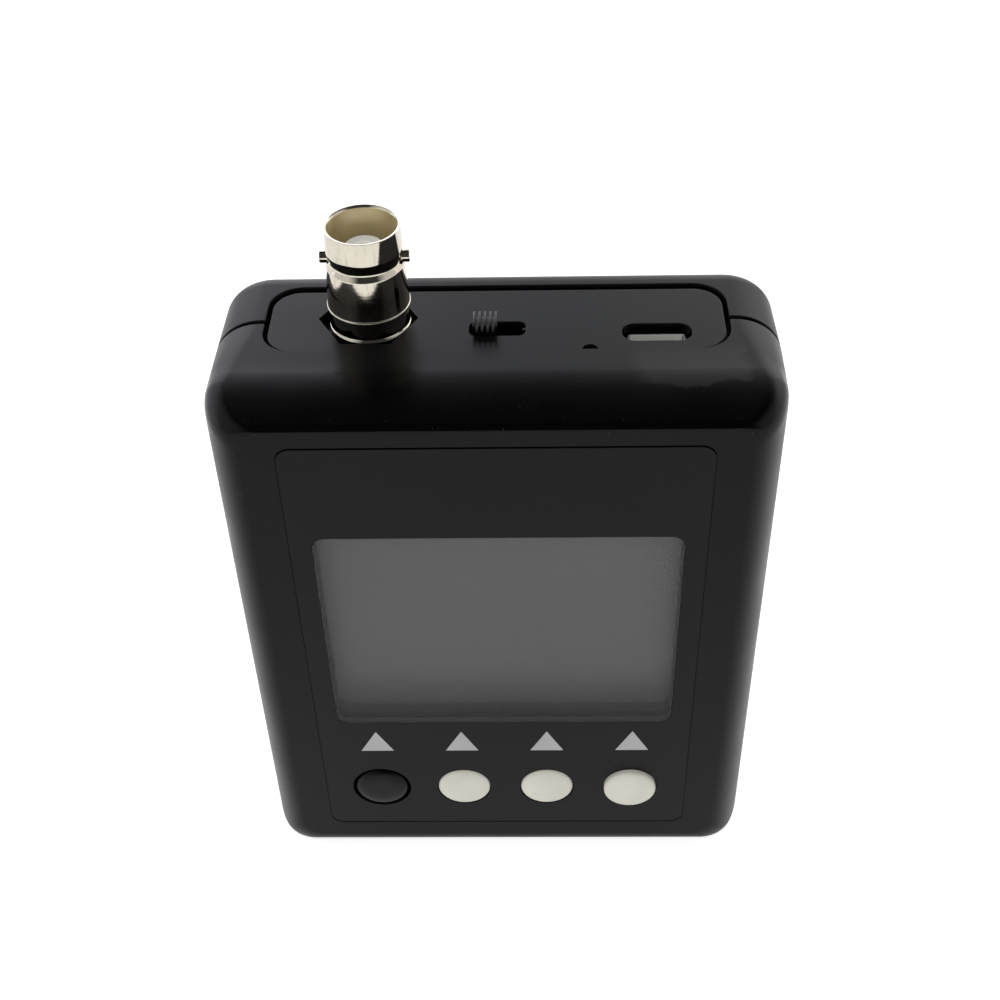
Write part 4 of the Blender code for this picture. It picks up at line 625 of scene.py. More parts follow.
def build_front_shell(material):
    """Front half with the label recess, the display's shroud, the bosses and the button holes."""
    shell = new_object("case_front", front_skin())
    root_y = INNER_FRONT_Y - SINK
    boss_radius = CASE_SCREW_RADIUS + FIT + BOSS_WALL
    join(shell, cylinders(screw_places(), boss_radius, root_y, PARTING_Y - FIT))
    pocket_edge = PANE_EDGE + FIT
    join(shell, prism(window_outline, "Y", root_y, SHROUD_END_Y, pocket_edge + SHROUD_RIM))
    cut(shell, levels_body(recess_outline, "Y", hole_levels(LABEL_HIGH.y + FIT, FRONT_Y, LABEL_ROUND)))
    cut(shell, prism(window_outline, "Y", FRONT_Y, PANE_HIGH.y + FIT, pocket_edge))
    cut(shell, prism(window_outline, "Y", FRONT_Y, SHROUD_END_Y + OVERRUN))
    places = [(x, BUTTON_Z) for x in BUTTON_PLACES]
    cut(shell, cylinders(places, BUTTON_HOLE_RADIUS, FRONT_Y, INNER_FRONT_Y + OVERRUN))
    cut(shell, panel_opening())
    dress(shell, "case", material, "case_plastic", "front_shell")


def build_back_shell(material):
    """Back half with the posts of the screws and their recesses."""
    shell = new_object("case_back", back_skin())
    join(shell, cylinders(screw_places(), SCREW_RECESS_RADIUS + BOSS_WALL, PARTING_Y, INNER_BACK_Y + SINK))
    seat_y = BACK_Y - SCREW_RECESS_DEPTH
    recesses = bmesh.new()
    for place in screw_places():
        add_levels(recesses, round_outline(place, SCREW_RECESS_RADIUS), "Y",
                   hole_levels(seat_y, BACK_Y, HOLE_ROUND))
    cut(shell, recesses)
    cut(shell, cylinders(screw_places(), CASE_SCREW_RADIUS + FIT, PARTING_Y - OVERRUN, seat_y + OVERRUN))
    cut(shell, panel_opening())
    dress(shell, "case", material, "case_plastic", "back_shell")


def screw_profile(tip_y, seat_y):
    """Radius and depth of a case screw, from its tip over the thread to its domed head."""
    root = CASE_SCREW_RADIUS - THREAD_DEPTH
    profile = [(TIP_SHARE * CASE_SCREW_RADIUS, tip_y), (root, tip_y + THREAD_PITCH / 2)]
    for turn in range(1, int((seat_y - tip_y) / THREAD_PITCH) - 1):
        y = tip_y + turn * THREAD_PITCH
        profile += [(CASE_SCREW_RADIUS, y), (root, y + THREAD_PITCH / 2)]
    profile += [(root, seat_y), (CASE_SCREW_HEAD_RADIUS - HEAD_EDGE, seat_y),
                (CASE_SCREW_HEAD_RADIUS, seat_y + HEAD_EDGE)]
    for turn in rim_turns(HEAD_DOME_TURN):
        dome = HEAD_SIDE_SHARE + (1 - HEAD_SIDE_SHARE) * sin(turn) / sin(HEAD_DOME_TURN)
        radius = CASE_SCREW_HEAD_RADIUS * cos(turn) ** HEAD_DOME_CURVE
        profile.append((radius, seat_y + CASE_SCREW_HEAD_HEIGHT * dome))
    return profile


def build_screws(material):
    """Threaded case screws with a domed head and a crossed slot."""
    seat_y = BACK_Y - SCREW_RECESS_DEPTH + FIT
    head_back = seat_y + CASE_SCREW_HEAD_HEIGHT
    for number, place in enumerate(screw_places(), 1):
        profile = screw_profile(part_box(f"case_screw_{number}")[0].y, seat_y)
        body = turned(profile, place, "Y", sides=THREAD_SIDES)
        screw = new_object(f"case_screw_fine_{number}", body)
        for length, width in ((CROSS_LENGTH, CROSS_WIDTH), (CROSS_WIDTH, CROSS_LENGTH)):
            outline = rounded_rectangle(place, (length, width), CROSS_WIDTH / 4)
            arm = [(head_back - CROSS_DEPTH, -CROSS_WIDTH / 8), (head_back + OVERRUN, 0)]
            cut(screw, levels_body(outline, "Y", arm))
        dress(screw, "case", material, "steel", f"case_screw_{number}")


# Front

def build_label(material, ink):
    """Printed overlay with the window, the button holes and the four triangles."""
    label = new_object("label_overlay", levels_body(
        label_outline, "Y", plate_levels(LABEL_FACE_Y, LABEL_HIGH.y, LABEL_ROUND)))
    cut(label, prism(window_outline, "Y", LABEL_FACE_Y - OVERRUN, LABEL_HIGH.y + OVERRUN))
    holes = bmesh.new()
    for number, x in enumerate(BUTTON_PLACES):
        radius = LABEL_HOLE_RADIUS if number else BUTTON_HOLE_RADIUS
        add_levels(holes, round_outline((x, BUTTON_Z), radius), "Y",
                   hole_levels(LABEL_HIGH.y + OVERRUN, LABEL_FACE_Y, HOLE_ROUND / 3))
    cut(label, holes)
    dress(label, "case", material, "label_film", "front_label")
    triangles = bmesh.new()
    for x in BUTTON_PLACES:
        corners = [(x - TRIANGLE_WIDTH / 2, TRIANGLE_BASE_Z), (x + TRIANGLE_WIDTH / 2, TRIANGLE_BASE_Z),
                   (x, TRIANGLE_BASE_Z + TRIANGLE_HEIGHT)]
        outline = smooth_path(corners, TRIANGLE_ROUND)
        add_loft(triangles, [[lift(point, "Y", y) for point in outline]
                             for y in (LABEL_FACE_Y - INK_THICKNESS, LABEL_FACE_Y + INK_THICKNESS)])
    dress(new_object("label_triangles", triangles), "case", ink, "label_film")


def build_pane(material):
    """Clear pane in the window, with its edge behind the label."""
    step_y = PANE_HIGH.y - PANE_EDGE
    pane = new_object("window_pane", levels_body(window_outline, "Y", [
        (LABEL_FACE_Y, -PANE_GAP), (step_y, -PANE_GAP), (step_y, PANE_EDGE), (PANE_HIGH.y, PANE_EDGE)]))
    dress(pane, "case", material, "clear_plastic", "display_window")


def build_caps(black, white):
    """Domed caps with their flanges."""
    for number, x in enumerate(BUTTON_PLACES, 1):
        low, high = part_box(f"button_cap_{number}")
        flange_y = high.y - CAP_FLANGE_THICKNESS
        profile = [(CAP_FLANGE_RADIUS, high.y), (CAP_FLANGE_RADIUS, flange_y), (CAP_RADIUS, flange_y)]
        for step in range(EDGE_STEPS):
            angle = step / EDGE_STEPS * pi / 2
            profile.append((CAP_RADIUS * sqrt(cos(angle)), low.y + CAP_DOME * (1 - sin(angle))))
        cap = new_object(f"cap_fine_{number}", turned(profile, (x, BUTTON_Z), "Y"))
        material, slot = (black, "cap_black") if number == 1 else (white, "cap_white")
        dress(cap, f"button_{number}", material, slot, f"button_cap_{number}")


# End panel

def cut_slot(panel):
    """The switch's slot, with a small tab at its right end."""
    cut(panel, levels_body(rounded_rectangle(SLOT_CENTRE, SLOT_SIZE, SLOT_SIZE[1] / 3), "Z",
                           hole_levels(FLANGE_LOW_Z, CASE_HEIGHT, HOLE_ROUND / 2)))
    slot_end = (SLOT_CENTRE[0] + SLOT_SIZE[0] / 2, SLOT_CENTRE[1])
    tab = rounded_rectangle(slot_end, SLOT_TAB, SLOT_TAB[1] / 2)
    join(panel, prism(tab, "Z", CASE_HEIGHT - PANEL_PLATE, CASE_HEIGHT - HOLE_ROUND / 2))


def build_panel(material):
    """Plate with its flange, the jack's pocket and the openings of the switch, the lamp and the socket."""
    panel = new_object("panel_fine", levels_body(
        panel_outline, "Z", plate_levels(FLANGE_LOW_Z, CASE_HEIGHT, 0, PANEL_ROUND)))
    side = PANEL_SIDE_GAP + FLANGE_EDGE
    back_y = PANEL_HIGH[1] + PANEL_BACK_GAP + FLANGE_EDGE
    flange = between((PANEL_LOW[0] - side, PANEL_LOW[1] - FIT - FLANGE_EDGE),
                     (PANEL_HIGH[0] + side, back_y), PANEL_RADIUS + side)
    join(panel, prism(flange, "Z", FLANGE_LOW_Z, FLANGE_TOP_Z))
    cut(panel, box_body((JACK_PAD_X, PANEL_LOW[1] + PANEL_RIM, FLANGE_LOW_Z - OVERRUN),
                        (PANEL_HIGH[0] - PANEL_RIM, PANEL_HIGH[1] - PANEL_RIM, CASE_HEIGHT - PANEL_PLATE)))
    cut(panel, levels_body(pocket_outline, "Z",
                           hole_levels(CASE_HEIGHT - JACK_POCKET_DEPTH, CASE_HEIGHT, HOLE_ROUND / 2)))
    stem_hole = round_outline(JACK_CENTRE, JACK_STEM_RADIUS + FIT)
    cut(panel, prism(stem_hole, "Z", FLANGE_LOW_Z - OVERRUN, CASE_HEIGHT))
    cut_slot(panel)
    cut(panel, levels_body(rounded_rectangle(USB_CENTRE, USB_OPENING, USB_OPENING[1] / 2 - FIT / 3), "Z",
                           hole_levels(FLANGE_LOW_Z, CASE_HEIGHT, HOLE_ROUND / 2)))
    lamp_hole = round_outline(LAMP_CENTRE, LAMP_HOLE_RADIUS)
    cut(panel, prism(lamp_hole, "Z", FLANGE_LOW_Z - OVERRUN, CASE_HEIGHT + OVERRUN))
    dress(panel, "case", material, "panel_plastic", "end_panel")


# Antenna jack

def jack_profile(low_z):
    """Radius and height of the jack's turned body, up its bore and down its outside to low_z."""
    bore = [(2.7, -23.4), (2.7, -8.7), (4.15, -8.7), (4.15, -0.3)]
    rim = [(4.35, 0), (4.62, 0), (4.655, -0.03), (4.77, -3.1)]
    neck = [(4.64, -3.6), (4.47, -4.2), (4.44, -4.45), (4.47, -4.62), (4.57, -4.85), (4.81, -5.32)]
    waist = [(5.0, -8.3), (5.1, -10.8)]
    collar = [(5.2, -10.87), (5.22, -11.0), (5.14, -11.14), (4.96, -11.2), (4.88, -13.5)]
    foot = [(4.98, -13.7), (5.1, -13.8), (5.14, -13.92), (5.04, -14.3), (5.04, -14.85)]
    stem = [(4.4, -14.85), (4.4, -23.4)]
    return [(radius * MM, max(JACK_TOP_Z + height * MM, low_z))
            for radius, height in bore + rim + neck + waist + collar + foot + stem]


def build_jack(nickel, bore_lit_nickel):
    """Turned body with two lugs; its bore has a warmer, brighter and less metallic copy of the nickel,
    painted light inside the bore.
    """
    profile = smooth_path(jack_profile(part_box("antenna_jack_body")[0].z), JACK_ROUND)
    jack = new_object("jack_fine", turned(profile, JACK_CENTRE, "Z", True))
    lug = round_outline((JACK_CENTRE[1], JACK_TOP_Z - LUG_DEPTH), LUG_RADIUS, SMALL_SIDES)
    lugs = bmesh.new()
    for side in (-1, 1):
        ends = sorted(JACK_CENTRE[0] + side * reach for reach in (JACK_STEM_RADIUS, LUG_SPAN / 2))
        add_levels(lugs, lug, "X", plate_levels(*ends, JACK_ROUND, JACK_ROUND))
    join(jack, lugs)
    dress(jack, "case", nickel, "nickel_plate", "antenna_jack_body")
    jack.data.materials.append(bore_lit_nickel)
    # Faces inside the bore take the brighter copy of the nickel, which paints the light there.
    for face in jack.data.polygons:
        centre = face.center
        distance = (centre.xy - Vector(JACK_CENTRE)).length
        if distance < BORE_REACH and centre.z > JACK_TOP_Z - BORE_DEPTH:
            face.material_index = 1


def build_jack_inside(white, gold):
    """Insulator with a rounded rim, and the hollow centre contact."""
    low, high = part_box("antenna_jack_insulator")
    profile = [(INSULATOR_BORE, low.z), (INSULATOR_RADIUS, low.z), (INSULATOR_RADIUS, high.z),
               (INSULATOR_BORE, high.z)]
    body = turned(smooth_path(profile, INSULATOR_ROUND), JACK_CENTRE, "Z", True, ROUND_SIDES)
    insulator = new_object("insulator_fine", body)
    dress(insulator, "case", white, "white_plastic", "antenna_jack_insulator")
    low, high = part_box("antenna_jack_contact")
    radius = CONTACT_RADIUS
    profile = [(radius / 2, high.z - CONTACT_HOLLOW), (radius / 2, high.z - CONTACT_EDGE),
               (radius * 0.7, high.z), (radius * 0.9, high.z), (radius, high.z - CONTACT_MOUTH_EDGE),
               (radius, low.z + CONTACT_EDGE), (radius * 0.85, low.z)]
    contact = new_object("contact_fine", turned(profile, JACK_CENTRE, "Z", sides=SMALL_SIDES))
    tail = round_outline((JACK_CENTRE[0], low.z + radius), radius / 2, SMALL_SIDES // 2)
    join(contact, levels_body(tail, "Y", plate_levels(low.y, JACK_CENTRE[1], CONTACT_EDGE)))
    dress(contact, "case", gold, "contact_gold", "antenna_jack_contact")


# Switch knob

def build_knob(material):
    """Ridged knob on its stem."""
    width = KNOB_HIGH.x - KNOB_LOW.x
    pitch = width / (KNOB_RIDGES - 0.5)
    base_z = KNOB_TOP_Z - KNOB_RIDGE_HEIGHT
    profile = [(KNOB_HIGH.x, KNOB_FOOT_Z)]
    for index in reversed(range(KNOB_RIDGES)):
        left = KNOB_LOW.x + index * pitch
        right = left + pitch / 2
        if index < KNOB_RIDGES - 1:
            profile.append((right, base_z))
        profile += [(right, KNOB_TOP_Z), (left, KNOB_TOP_Z)]
        if index:
            profile.append((left, base_z))
    profile.append((KNOB_LOW.x, KNOB_FOOT_Z))
    outline = smooth_path(profile, KNOB_RIDGE_ROUND, steps=3)
    knob = new_object("knob_fine", loft([[lift(point, "Y", y) for point in outline]
                                         for y in (KNOB_LOW.y, KNOB_REAR_Y)]))
    bevel(knob, KNOB_BEVEL, 2)
    middle = (KNOB_LOW + KNOB_HIGH) / 2
    half_width, half_depth = KNOB_STEM_SIZE[0] / 2, KNOB_STEM_SIZE[1] / 2
    join(knob, box_body((middle.x - half_width, middle.y - half_depth, KNOB_LOW.z),
                        (middle.x + half_width, middle.y + half_depth, KNOB_FOOT_Z + SINK)))
    dress(knob, "power_knob", material, "switch_black", "power_switch_knob")


# Charging socket

def usb_outline(grow=0.0):
    """Section of the socket's shell: wide at the back, narrow towards the front."""
    low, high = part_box("usb_shell")
    middle = (low.x + high.x) / 2
    wide = (high.x - low.x) / 2 + grow
    narrow = USB_NARROW_WIDTH / 2 + grow
    slant_y = low.y + USB_SLANT_DEPTH - grow / 2
    corners = [(middle - narrow, low.y - grow), (middle + narrow, low.y - grow),
               (middle + wide, slant_y), (middle + wide, high.y + grow),
               (middle - wide, high.y + grow), (middle - wide, slant_y)]
    return smooth_path(corners, USB_CORNER_RADIUS + grow)


def build_usb(material, satin_lit_tin):
    """Drawn sheet shell with a rolled rim, whose flat inner wall at the back has a satin finish in a
    brighter, less metallic copy of the tin: partly a painted highlight.
    """
    low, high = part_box("usb_shell")
    top_z = high.z - USB_RIM_DROP
    shell = new_object("usb_fine", levels_body(
        usb_outline, "Z", plate_levels(low.z, top_z, 0, USB_RIM_ROUND)))
    cut(shell, levels_body(lambda grow: usb_outline(grow - USB_SHEET), "Z",
                           hole_levels(low.z + USB_FLOOR, top_z, USB_MOUTH_ROUND)))
    dress(shell, "case", material, "tin_plate", "usb_shell")
    shell.data.materials.append(satin_lit_tin)
    middle_y = (low.y + high.y) / 2
    # The back inner wall gets the brighter copy of the tin, which paints the light on that wall.
    for face in shell.data.polygons:
        if face.normal.y < USB_WALL_NORMAL and face.center.y > middle_y:
            face.material_index = 1


# Material nodes

def add_node(tree, kind, inputs=None, **settings):
    """A shader node with its settings; its inputs, by name or number, are values or other sockets."""
    item = tree.nodes.new(kind)
    for key, value in settings.items():
        setattr(item, key, value)
    for key, value in (inputs or {}).items():
        if isinstance(value, bpy.types.NodeSocket):
            tree.links.new(value, item.inputs[key])
        else:
            item.inputs[key].default_value = value
    return item


def add_noise(tree, coordinates, size, detail=3.0, roughness=0.5):
    """Noise whose features are about as large as size."""
    noise = add_node(tree, "ShaderNodeTexNoise", {
        "Vector": coordinates, "Scale": 1 / size, "Detail": detail, "Roughness": roughness})
    return noise.outputs["Fac"]


def add_range(tree, value, stretch, to_low=0.0, to_high=1.0):
    """A value's stretch from its first to its last value, spread over another stretch."""
    node = add_node(tree, "ShaderNodeMapRange", {
        "Value": value, "From Min": stretch[0], "From Max": stretch[1],
        "To Min": to_low, "To Max": to_high})
    return node.outputs["Result"]


def add_math(tree, operation, *values):
    """The result of a calculation with values or sockets."""
    return add_node(tree, "ShaderNodeMath", dict(enumerate(values)), operation=operation).outputs[0]


def add_mix(tree, factor, first, second, blend_type="MIX"):
    """A colour between two colours, or their product."""
    inputs = {0: factor, 6: first, 7: second}
    return add_node(tree, "ShaderNodeMix", inputs, data_type="RGBA", blend_type=blend_type).outputs[2]


def colour(red, green, blue):
    """A colour with full alpha."""
    return (red, green, blue, 1.0)


def grey(level):
    """A grey with full alpha."""
    return colour(level, level, level)


def shade(base, factor):
    """A colour that is lighter or darker by a factor."""
    return colour(*[min(value * factor, 1.0) for value in base])


def new_material(name, constants):
    """A material with its shader's constants set, and what the other nodes need."""
    material = bpy.data.materials.new(name)
    material.use_nodes = True
    tree = material.node_tree
    shader = tree.nodes["Principled BSDF"]
    for key, value in constants.items():
        shader.inputs[key].default_value = value
    coordinates = add_node(tree, "ShaderNodeTexCoord").outputs["Object"]
    return material, tree, shader, coordinates


def add_bump(tree, shader, height, distance):
    """Relief from a height between 0 and 1, which is as deep as distance."""
    bump = add_node(tree, "ShaderNodeBump", {"Height": height, "Distance": distance, "Strength": 1.0})
    tree.links.new(bump.outputs["Normal"], shader.inputs["Normal"])


def moulded_plastic(name, base, roughness, spread, grain, depth, specular=0.5, dust=0.0,
                    top_tint_and_sheen=False, soft=0.0):
    """Moulded plastic: a fine grain, patches of other gloss, slight changes of colour and a little dust."""
    material, tree, shader, coordinates = new_material(name, {
        "Specular IOR Level": specular, "Subsurface Weight": soft, "Subsurface Scale": SOFT_DEPTH})
    patches = add_noise(tree, coordinates, PATCH_SIZE, 4)
    tint = add_mix(tree, patches, shade(base, 0.8), shade(base, 1.25))
    gloss = add_range(tree, patches, NOISE_STRETCH, roughness - spread, roughness + spread)
    if dust:
        specks = add_noise(tree, coordinates, SPECK_SIZE, 2, 0.6)
        mask = add_range(tree, specks, SPECK_STRETCH, 0.0, dust)
        tint = add_mix(tree, mask, tint, colour(0.35, 0.35, 0.34))
    # On the top end: a lighter tint towards the back, a painted sheen patch by the front edge, and lower
    # roughness along the worn edge.
    if top_tint_and_sheen:
        tint = add_top_tint_and_sheen(tree, coordinates, tint)
        gloss = add_worn_edge(tree, coordinates, gloss)
    tree.links.new(tint, shader.inputs["Base Color"])
    tree.links.new(gloss, shader.inputs["Roughness"])
    fine = add_noise(tree, coordinates, grain, 2)
    add_bump(tree, shader, fine, depth)
    return material


def add_worn_edge(tree, coordinates, gloss):
    """A roughness that is lower along the top end's front edge, polished by handling."""
    place = add_node(tree, "ShaderNodeSeparateXYZ", {"Vector": coordinates})
    above = add_range(tree, place.outputs["Z"], WORN_ABOVE)
    before = add_range(tree, place.outputs["Y"], WORN_BEFORE)
    edge = add_math(tree, "MULTIPLY", above, before)
    share = add_range(tree, edge, (0.0, 1.0), 1.0, EDGE_ROUGHNESS_SHARE)
    return add_math(tree, "MULTIPLY", gloss, share)


def add_top_tint_and_sheen(tree, coordinates, tint):
    """A tint that is lighter over the top end, less so towards the front, and a lighter patch by its front
    edge that is painted sheen.
    """
    place = add_node(tree, "ShaderNodeSeparateXYZ", {"Vector": coordinates})
    wander = add_noise(tree, coordinates, TINT_WANDER_SIZE, 3)
    drift = add_range(tree, wander, NOISE_STRETCH, -TINT_WANDER, TINT_WANDER)
    depth = add_math(tree, "ADD", place.outputs["Y"], drift)
    behind = add_range(tree, depth, TOP_TINT_BEHIND)
    above = add_range(tree, place.outputs["Z"], TOP_TINT_ABOVE)
    lighter_top = add_mix(tree, add_math(tree, "MULTIPLY", behind, above), tint, grey(TOP_TINT_LEVEL))
    across = add_math(tree, "ADD", place.outputs["X"], drift)
    # A lighter patch by the front edge: painted sheen of the worn edge.
    painted_sheen = above
    for value, stretch in ((across, SHEEN_LEFT), (across, SHEEN_RIGHT), (depth, SHEEN_FRONT),
                           (depth, SHEEN_BACK)):
        painted_sheen = add_math(tree, "MULTIPLY", painted_sheen, add_range(tree, value, stretch))
    return add_mix(tree, painted_sheen, lighter_top, grey(SHEEN_LEVEL))


def brushed_metal(name, base, roughness, spread, turning, depth, metallic=1.0, scratches=0.0):
    """Plated metal: faint rings of the turning tool, smudges, slight stains and lengthwise scratches."""
    material, tree, shader, coordinates = new_material(name, {"Metallic": metallic})
    smudges = add_noise(tree, coordinates, SMUDGE_SIZE, 4)
    stretched = add_node(tree, "ShaderNodeVectorMath", {0: coordinates, 1: SCRATCH_STRETCH},
                         operation="MULTIPLY")
    streaks = add_noise(tree, stretched.outputs[0], SCRATCH_SIZE, 2, 0.6)
    plate = add_mix(tree, smudges, shade(base, 0.84), shade(base, 1.12))
    stain = add_range(tree, streaks, STAIN_STRETCH, 0.0, scratches)
    tree.links.new(add_mix(tree, stain, plate, shade(base, 0.45)), shader.inputs["Base Color"])
    gloss = add_range(tree, smudges, NOISE_STRETCH, roughness - spread, roughness + spread)
    tree.links.new(gloss, shader.inputs["Roughness"])
    rings = add_node(tree, "ShaderNodeTexWave", {
        "Vector": coordinates, "Scale": 1 / turning, "Distortion": 1.5, "Detail": 2.0},
        wave_type="BANDS", bands_direction="Z")
    add_bump(tree, shader, rings.outputs["Fac"], depth)
    return material


def clear_plastic(name):
    """Clear moulded pane with the faintest smears, and a grey veil that is a painted reflection of its
    face.
    """
    material, tree, shader, coordinates = new_material(name, {"Alpha": 0.07, "Roughness": 0.1})
    smears = add_noise(tree, coordinates, SMEAR_SIZE, 3)
    # The grey base under a low alpha paints the pane's reflection as an even veil over the display.
    tree.links.new(add_mix(tree, smears, grey(0.33), grey(0.38)), shader.inputs["Base Color"])
    return material


def display_face(name):
    """The unlit display: grey film with faint clouding."""
    material, tree, shader, coordinates = new_material(name, {"Specular IOR Level": 0.3})
    clouds = add_noise(tree, coordinates, CLOUD_SIZE, 3)
    tree.links.new(add_mix(tree, clouds, grey(0.041), grey(0.045)), shader.inputs["Base Color"])
    tree.links.new(add_range(tree, clouds, NOISE_STRETCH, 0.35, 0.45), shader.inputs["Roughness"])
    return material


def matt_material(name, base, roughness):
    """A plain small part: slight mottling and grain."""
    return moulded_plastic(name, base, roughness, 0.06, 0.25 * MM, 0.01 * MM)


def make_materials():
    """The finish of each material slot of the part."""
    black = (0.0009, 0.0009, 0.0010)
    rubber = (0.0015, 0.0015, 0.0015)
    return {
        "case_plastic": moulded_plastic(
            "case_black", black, 0.36, 0.035, 0.32 * MM, 0.006 * MM, 0.12, 0.06, top_tint_and_sheen=True),
        "panel_plastic": moulded_plastic(
            "panel_black", black, 0.30, 0.03, 0.25 * MM, 0.005 * MM, 0.12, 0.3, top_tint_and_sheen=True),
        "label_film": moulded_plastic(
            "label_black", (0.0022, 0.0022, 0.0023), 0.33, 0.02, 0.2 * MM, 0.002 * MM, 0.12, 0.05),
        "cap_black": moulded_plastic("cap_rubber", rubber, 0.33, 0.04, 0.2 * MM, 0.004 * MM, 0.14),
        "cap_white": moulded_plastic(
            "cap_cream", (0.57, 0.56, 0.49), 0.42, 0.04, 0.3 * MM, 0.004 * MM, 0.35, soft=0.1),
        "switch_black": moulded_plastic("knob_black", rubber, 0.35, 0.04, 0.2 * MM, 0.004 * MM, 0.22),
        "label_ink": moulded_plastic("ink_grey", (0.335,) * 3, 0.5, 0.03, 0.15 * MM, 0.003 * MM),
        "nickel_plate": brushed_metal(
            "nickel", (0.58, 0.54, 0.45), 0.08, 0.03, 1.6 * MM, 0.0004 * MM, scratches=0.35),
        # A warmer, brighter and less metallic copy of the nickel for the bore: painted light inside it.
        "nickel_warm": brushed_metal(
            "nickel_bore", (0.96, 0.82, 0.54), 0.34, 0.06, 0.4 * MM, 0.003 * MM, metallic=0.75),
        "steel": brushed_metal("steel", (0.50, 0.50, 0.50), 0.28, 0.06, 0.4 * MM, 0.002 * MM),
        "tin_plate": brushed_metal("tin", (0.62, 0.62, 0.60), 0.22, 0.05, 0.6 * MM, 0.002 * MM),
        # Rougher, and brighter and less metallic than the tin: the satin is real, the extra brightness is a
        # painted highlight.
        "tin_socket": brushed_metal(
            "tin_satin_painted_light", (0.80, 0.80, 0.75), 0.42, 0.05, 0.6 * MM, 0.002 * MM, metallic=0.3),
        "contact_gold": brushed_metal("gold", (0.80, 0.58, 0.26), 0.20, 0.05, 0.5 * MM, 0.001 * MM),
        "white_plastic": matt_material("white_resin", (0.90, 0.90, 0.87), 0.45),
        "board_laminate": matt_material("board_green", (0.02, 0.11, 0.05), 0.40),
        "chip_plastic": matt_material("chip_black", (0.012, 0.012, 0.013), 0.50),
        "display_glass": display_face("display_grey"),
        "clear_plastic": clear_plastic("pane_clear"),
        "film_amber": matt_material("ribbon_amber", (0.35, 0.16, 0.03), 0.35),
        "battery_wrap": matt_material("battery_blue", (0.03, 0.10, 0.35), 0.30),
        "foam": matt_material("pad_foam", (0.10, 0.10, 0.10), 0.90),
        "lead_red": matt_material("lead_red", (0.45, 0.02, 0.02), 0.40),
        "lead_black": matt_material("lead_black", (0.012, 0.012, 0.012), 0.40),
        "lamp_resin": matt_material("lamp_white", (0.80, 0.78, 0.60), 0.30),
    }


def numbered(name, count):
    """Names of nodes that are numbered from 1."""
    return [f"{name}_{number + 1}" for number in range(count)]


NODE_FINISHES = {
    "case_plastic": ["display_holder"],
    "display_glass": ["display_glass"],
    "white_plastic": ["display_backlight", "ribbon_socket", "battery_plug", "battery_socket"],
    "steel": ["display_bezel", "power_switch_body", *numbered("board_screw", 4)],
    "film_amber": ["display_ribbon", *numbered("filter_capacitor", 2)],
    "board_laminate": ["main_board"],
    "chip_plastic": ["counter_chip", "processor_chip", "charger_chip", "usb_tongue",
                     *numbered("button_plunger", 4), *numbered("button_switch", 4)],
    "tin_plate": ["shield_can", "reference_oscillator", "antenna_jack_washer", "antenna_jack_ground_tag"],
    "nickel_plate": ["antenna_jack_nut"],
    "foam": ["battery_pad", "charger_inductor"],
    "battery_wrap": ["battery"],
    "lead_red": ["battery_lead_red"],
    "lead_black": ["battery_lead_black"],
    "lamp_resin": ["charge_lamp"],
}


def dress_nodes(materials):
    """Gives each CAD node that no piece replaces its finish."""
    for slot, names in NODE_FINISHES.items():
        for name in names:
            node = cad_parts[name]
            node.data.materials.clear()
            node.data.materials.append(materials[slot])


# Surroundings

def build_floor():
    """Plain white floor."""
    half = FLOOR_SIZE / 2
    bm = bmesh.new()
    corners = [(-half, -half, 0), (half, -half, 0), (half, half, 0), (-half, half, 0)]
    bm.faces.new([bm.verts.new(corner) for corner in corners])
    floor = new_object("floor", bm)
    material, tree, shader, coordinates = new_material("floor_white", {
        "Roughness": 0.9, "Specular IOR Level": 0.1, "Emission Strength": FLOOR_GLOW,
        "Emission Color": grey(1)})
    grain = add_noise(tree, coordinates, FLOOR_GRAIN, 2)
    tree.links.new(add_mix(tree, grain, grey(0.80), grey(0.82)), shader.inputs["Base Color"])
    floor.data.materials.append(material)


def add_sky_ramp(tree, share):
    """The sky's brightness at a share of the way from before the object to behind it."""
    ramp = add_node(tree, "ShaderNodeValToRGB", {"Fac": share})
    elements = ramp.color_ramp.elements
    while len(elements) < len(SKY_STOPS):
        elements.new(0.5)
    for element, (angle, level) in zip(elements, SKY_STOPS):
        element.position = angle / 180
        element.color = grey(level / SKY_BRIGHTEST)
    return ramp.outputs["Color"]


def add_sky_tint(tree, across, share):
    """White, and behind the object a tint that changes from left to right."""
    tint = add_mix(tree, add_range(tree, across, LEFT_TO_MIDDLE), LEFT_TINT, MIDDLE_TINT)
    tint = add_mix(tree, add_range(tree, across, MIDDLE_TO_RIGHT), tint, RIGHT_TINT)
    return add_mix(tree, add_range(tree, share, BEHIND_SHARES), grey(1), tint)


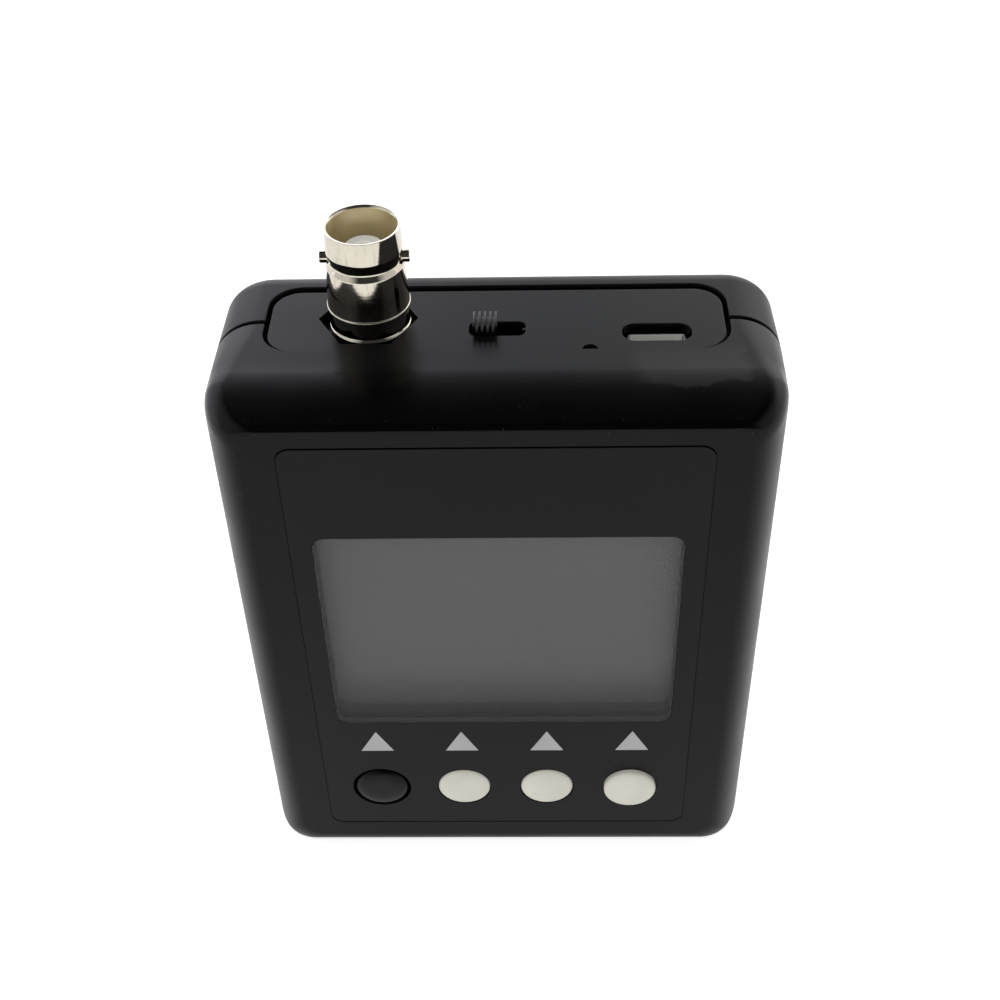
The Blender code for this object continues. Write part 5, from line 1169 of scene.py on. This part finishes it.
def set_sky():
    """A dark room before and over the object, with a bright wall behind it and one at each side."""
    world = bpy.data.worlds.new("studio")
    world.use_nodes = True
    bpy.context.scene.world = world
    tree = world.node_tree
    background = tree.nodes["Background"]
    direction = add_node(tree, "ShaderNodeTexCoord").outputs["Generated"]
    parts = add_node(tree, "ShaderNodeSeparateXYZ", {"Vector": direction})
    across = parts.outputs["X"]
    forward = add_math(tree, "MULTIPLY", parts.outputs["Y"], -1.0)
    turn = add_math(tree, "ARCTAN2", add_math(tree, "ABSOLUTE", parts.outputs["Z"]), forward)
    share = add_math(tree, "DIVIDE", turn, pi)
    left = add_range(tree, across, LEFT_WALL)
    right = add_range(tree, across, RIGHT_WALL, 0.0, RIGHT_WALL_SHARE)
    beside = add_math(tree, "ADD", left, right)
    walls = add_mix(tree, beside, add_sky_ramp(tree, share), grey(SIDE_WALL_LEVEL / SKY_BRIGHTEST))
    tinted = add_mix(tree, 1.0, walls, add_sky_tint(tree, across, share), "MULTIPLY")
    tree.links.new(tinted, background.inputs["Color"])
    background.inputs["Strength"].default_value = SKY_BRIGHTEST


def add_lamp():
    """Large soft light before the object, which does not show in its gloss."""
    data = bpy.data.lights.new("softbox", "AREA")
    data.size = LAMP_SIZE
    data.energy = LAMP_POWER
    lamp = bpy.data.objects.new("softbox", data)
    lamp.location = LAMP_PLACE
    lamp.rotation_euler = Vector(LAMP_PLACE).to_track_quat("Z", "Y").to_euler()
    lamp.visible_glossy = False
    bpy.context.scene.collection.objects.link(lamp)


def place_camera():
    """Camera at the photograph's viewpoint."""
    ahead = Vector((sin(CAMERA_YAW), cos(CAMERA_YAW), 0))
    forward = ahead * cos(CAMERA_PITCH) - Vector((0, 0, sin(CAMERA_PITCH)))
    level = Vector((cos(CAMERA_YAW), -sin(CAMERA_YAW), 0))
    upright = level.cross(forward)
    right = cos(CAMERA_ROLL) * level + sin(CAMERA_ROLL) * upright
    up = cos(CAMERA_ROLL) * upright - sin(CAMERA_ROLL) * level
    data = bpy.data.cameras.new("camera")
    data.lens = LENS
    data.sensor_width = SENSOR_WIDTH
    data.clip_start = 0.01
    camera = bpy.data.objects.new("camera", data)
    bpy.context.scene.collection.objects.link(camera)
    turned_axes = Matrix((right, up, -forward)).transposed()
    camera.matrix_world = Matrix.Translation(CAMERA_PLACE) @ turned_axes.to_4x4()
    bpy.context.scene.camera = camera


materials = make_materials()
dress_nodes(materials)
build_front_shell(materials["case_plastic"])
build_back_shell(materials["case_plastic"])
build_screws(materials["steel"])
build_label(materials["label_film"], materials["label_ink"])
build_pane(materials["clear_plastic"])
build_caps(materials["cap_black"], materials["cap_white"])
build_panel(materials["panel_plastic"])
build_jack(materials["nickel_plate"], materials["nickel_warm"])
build_jack_inside(materials["white_plastic"], materials["contact_gold"])
build_knob(materials["switch_black"])
build_usb(materials["tin_plate"], materials["tin_socket"])
build_floor()
set_sky()
add_lamp()
place_camera()
bpy.context.scene.view_settings.view_transform = "Standard"
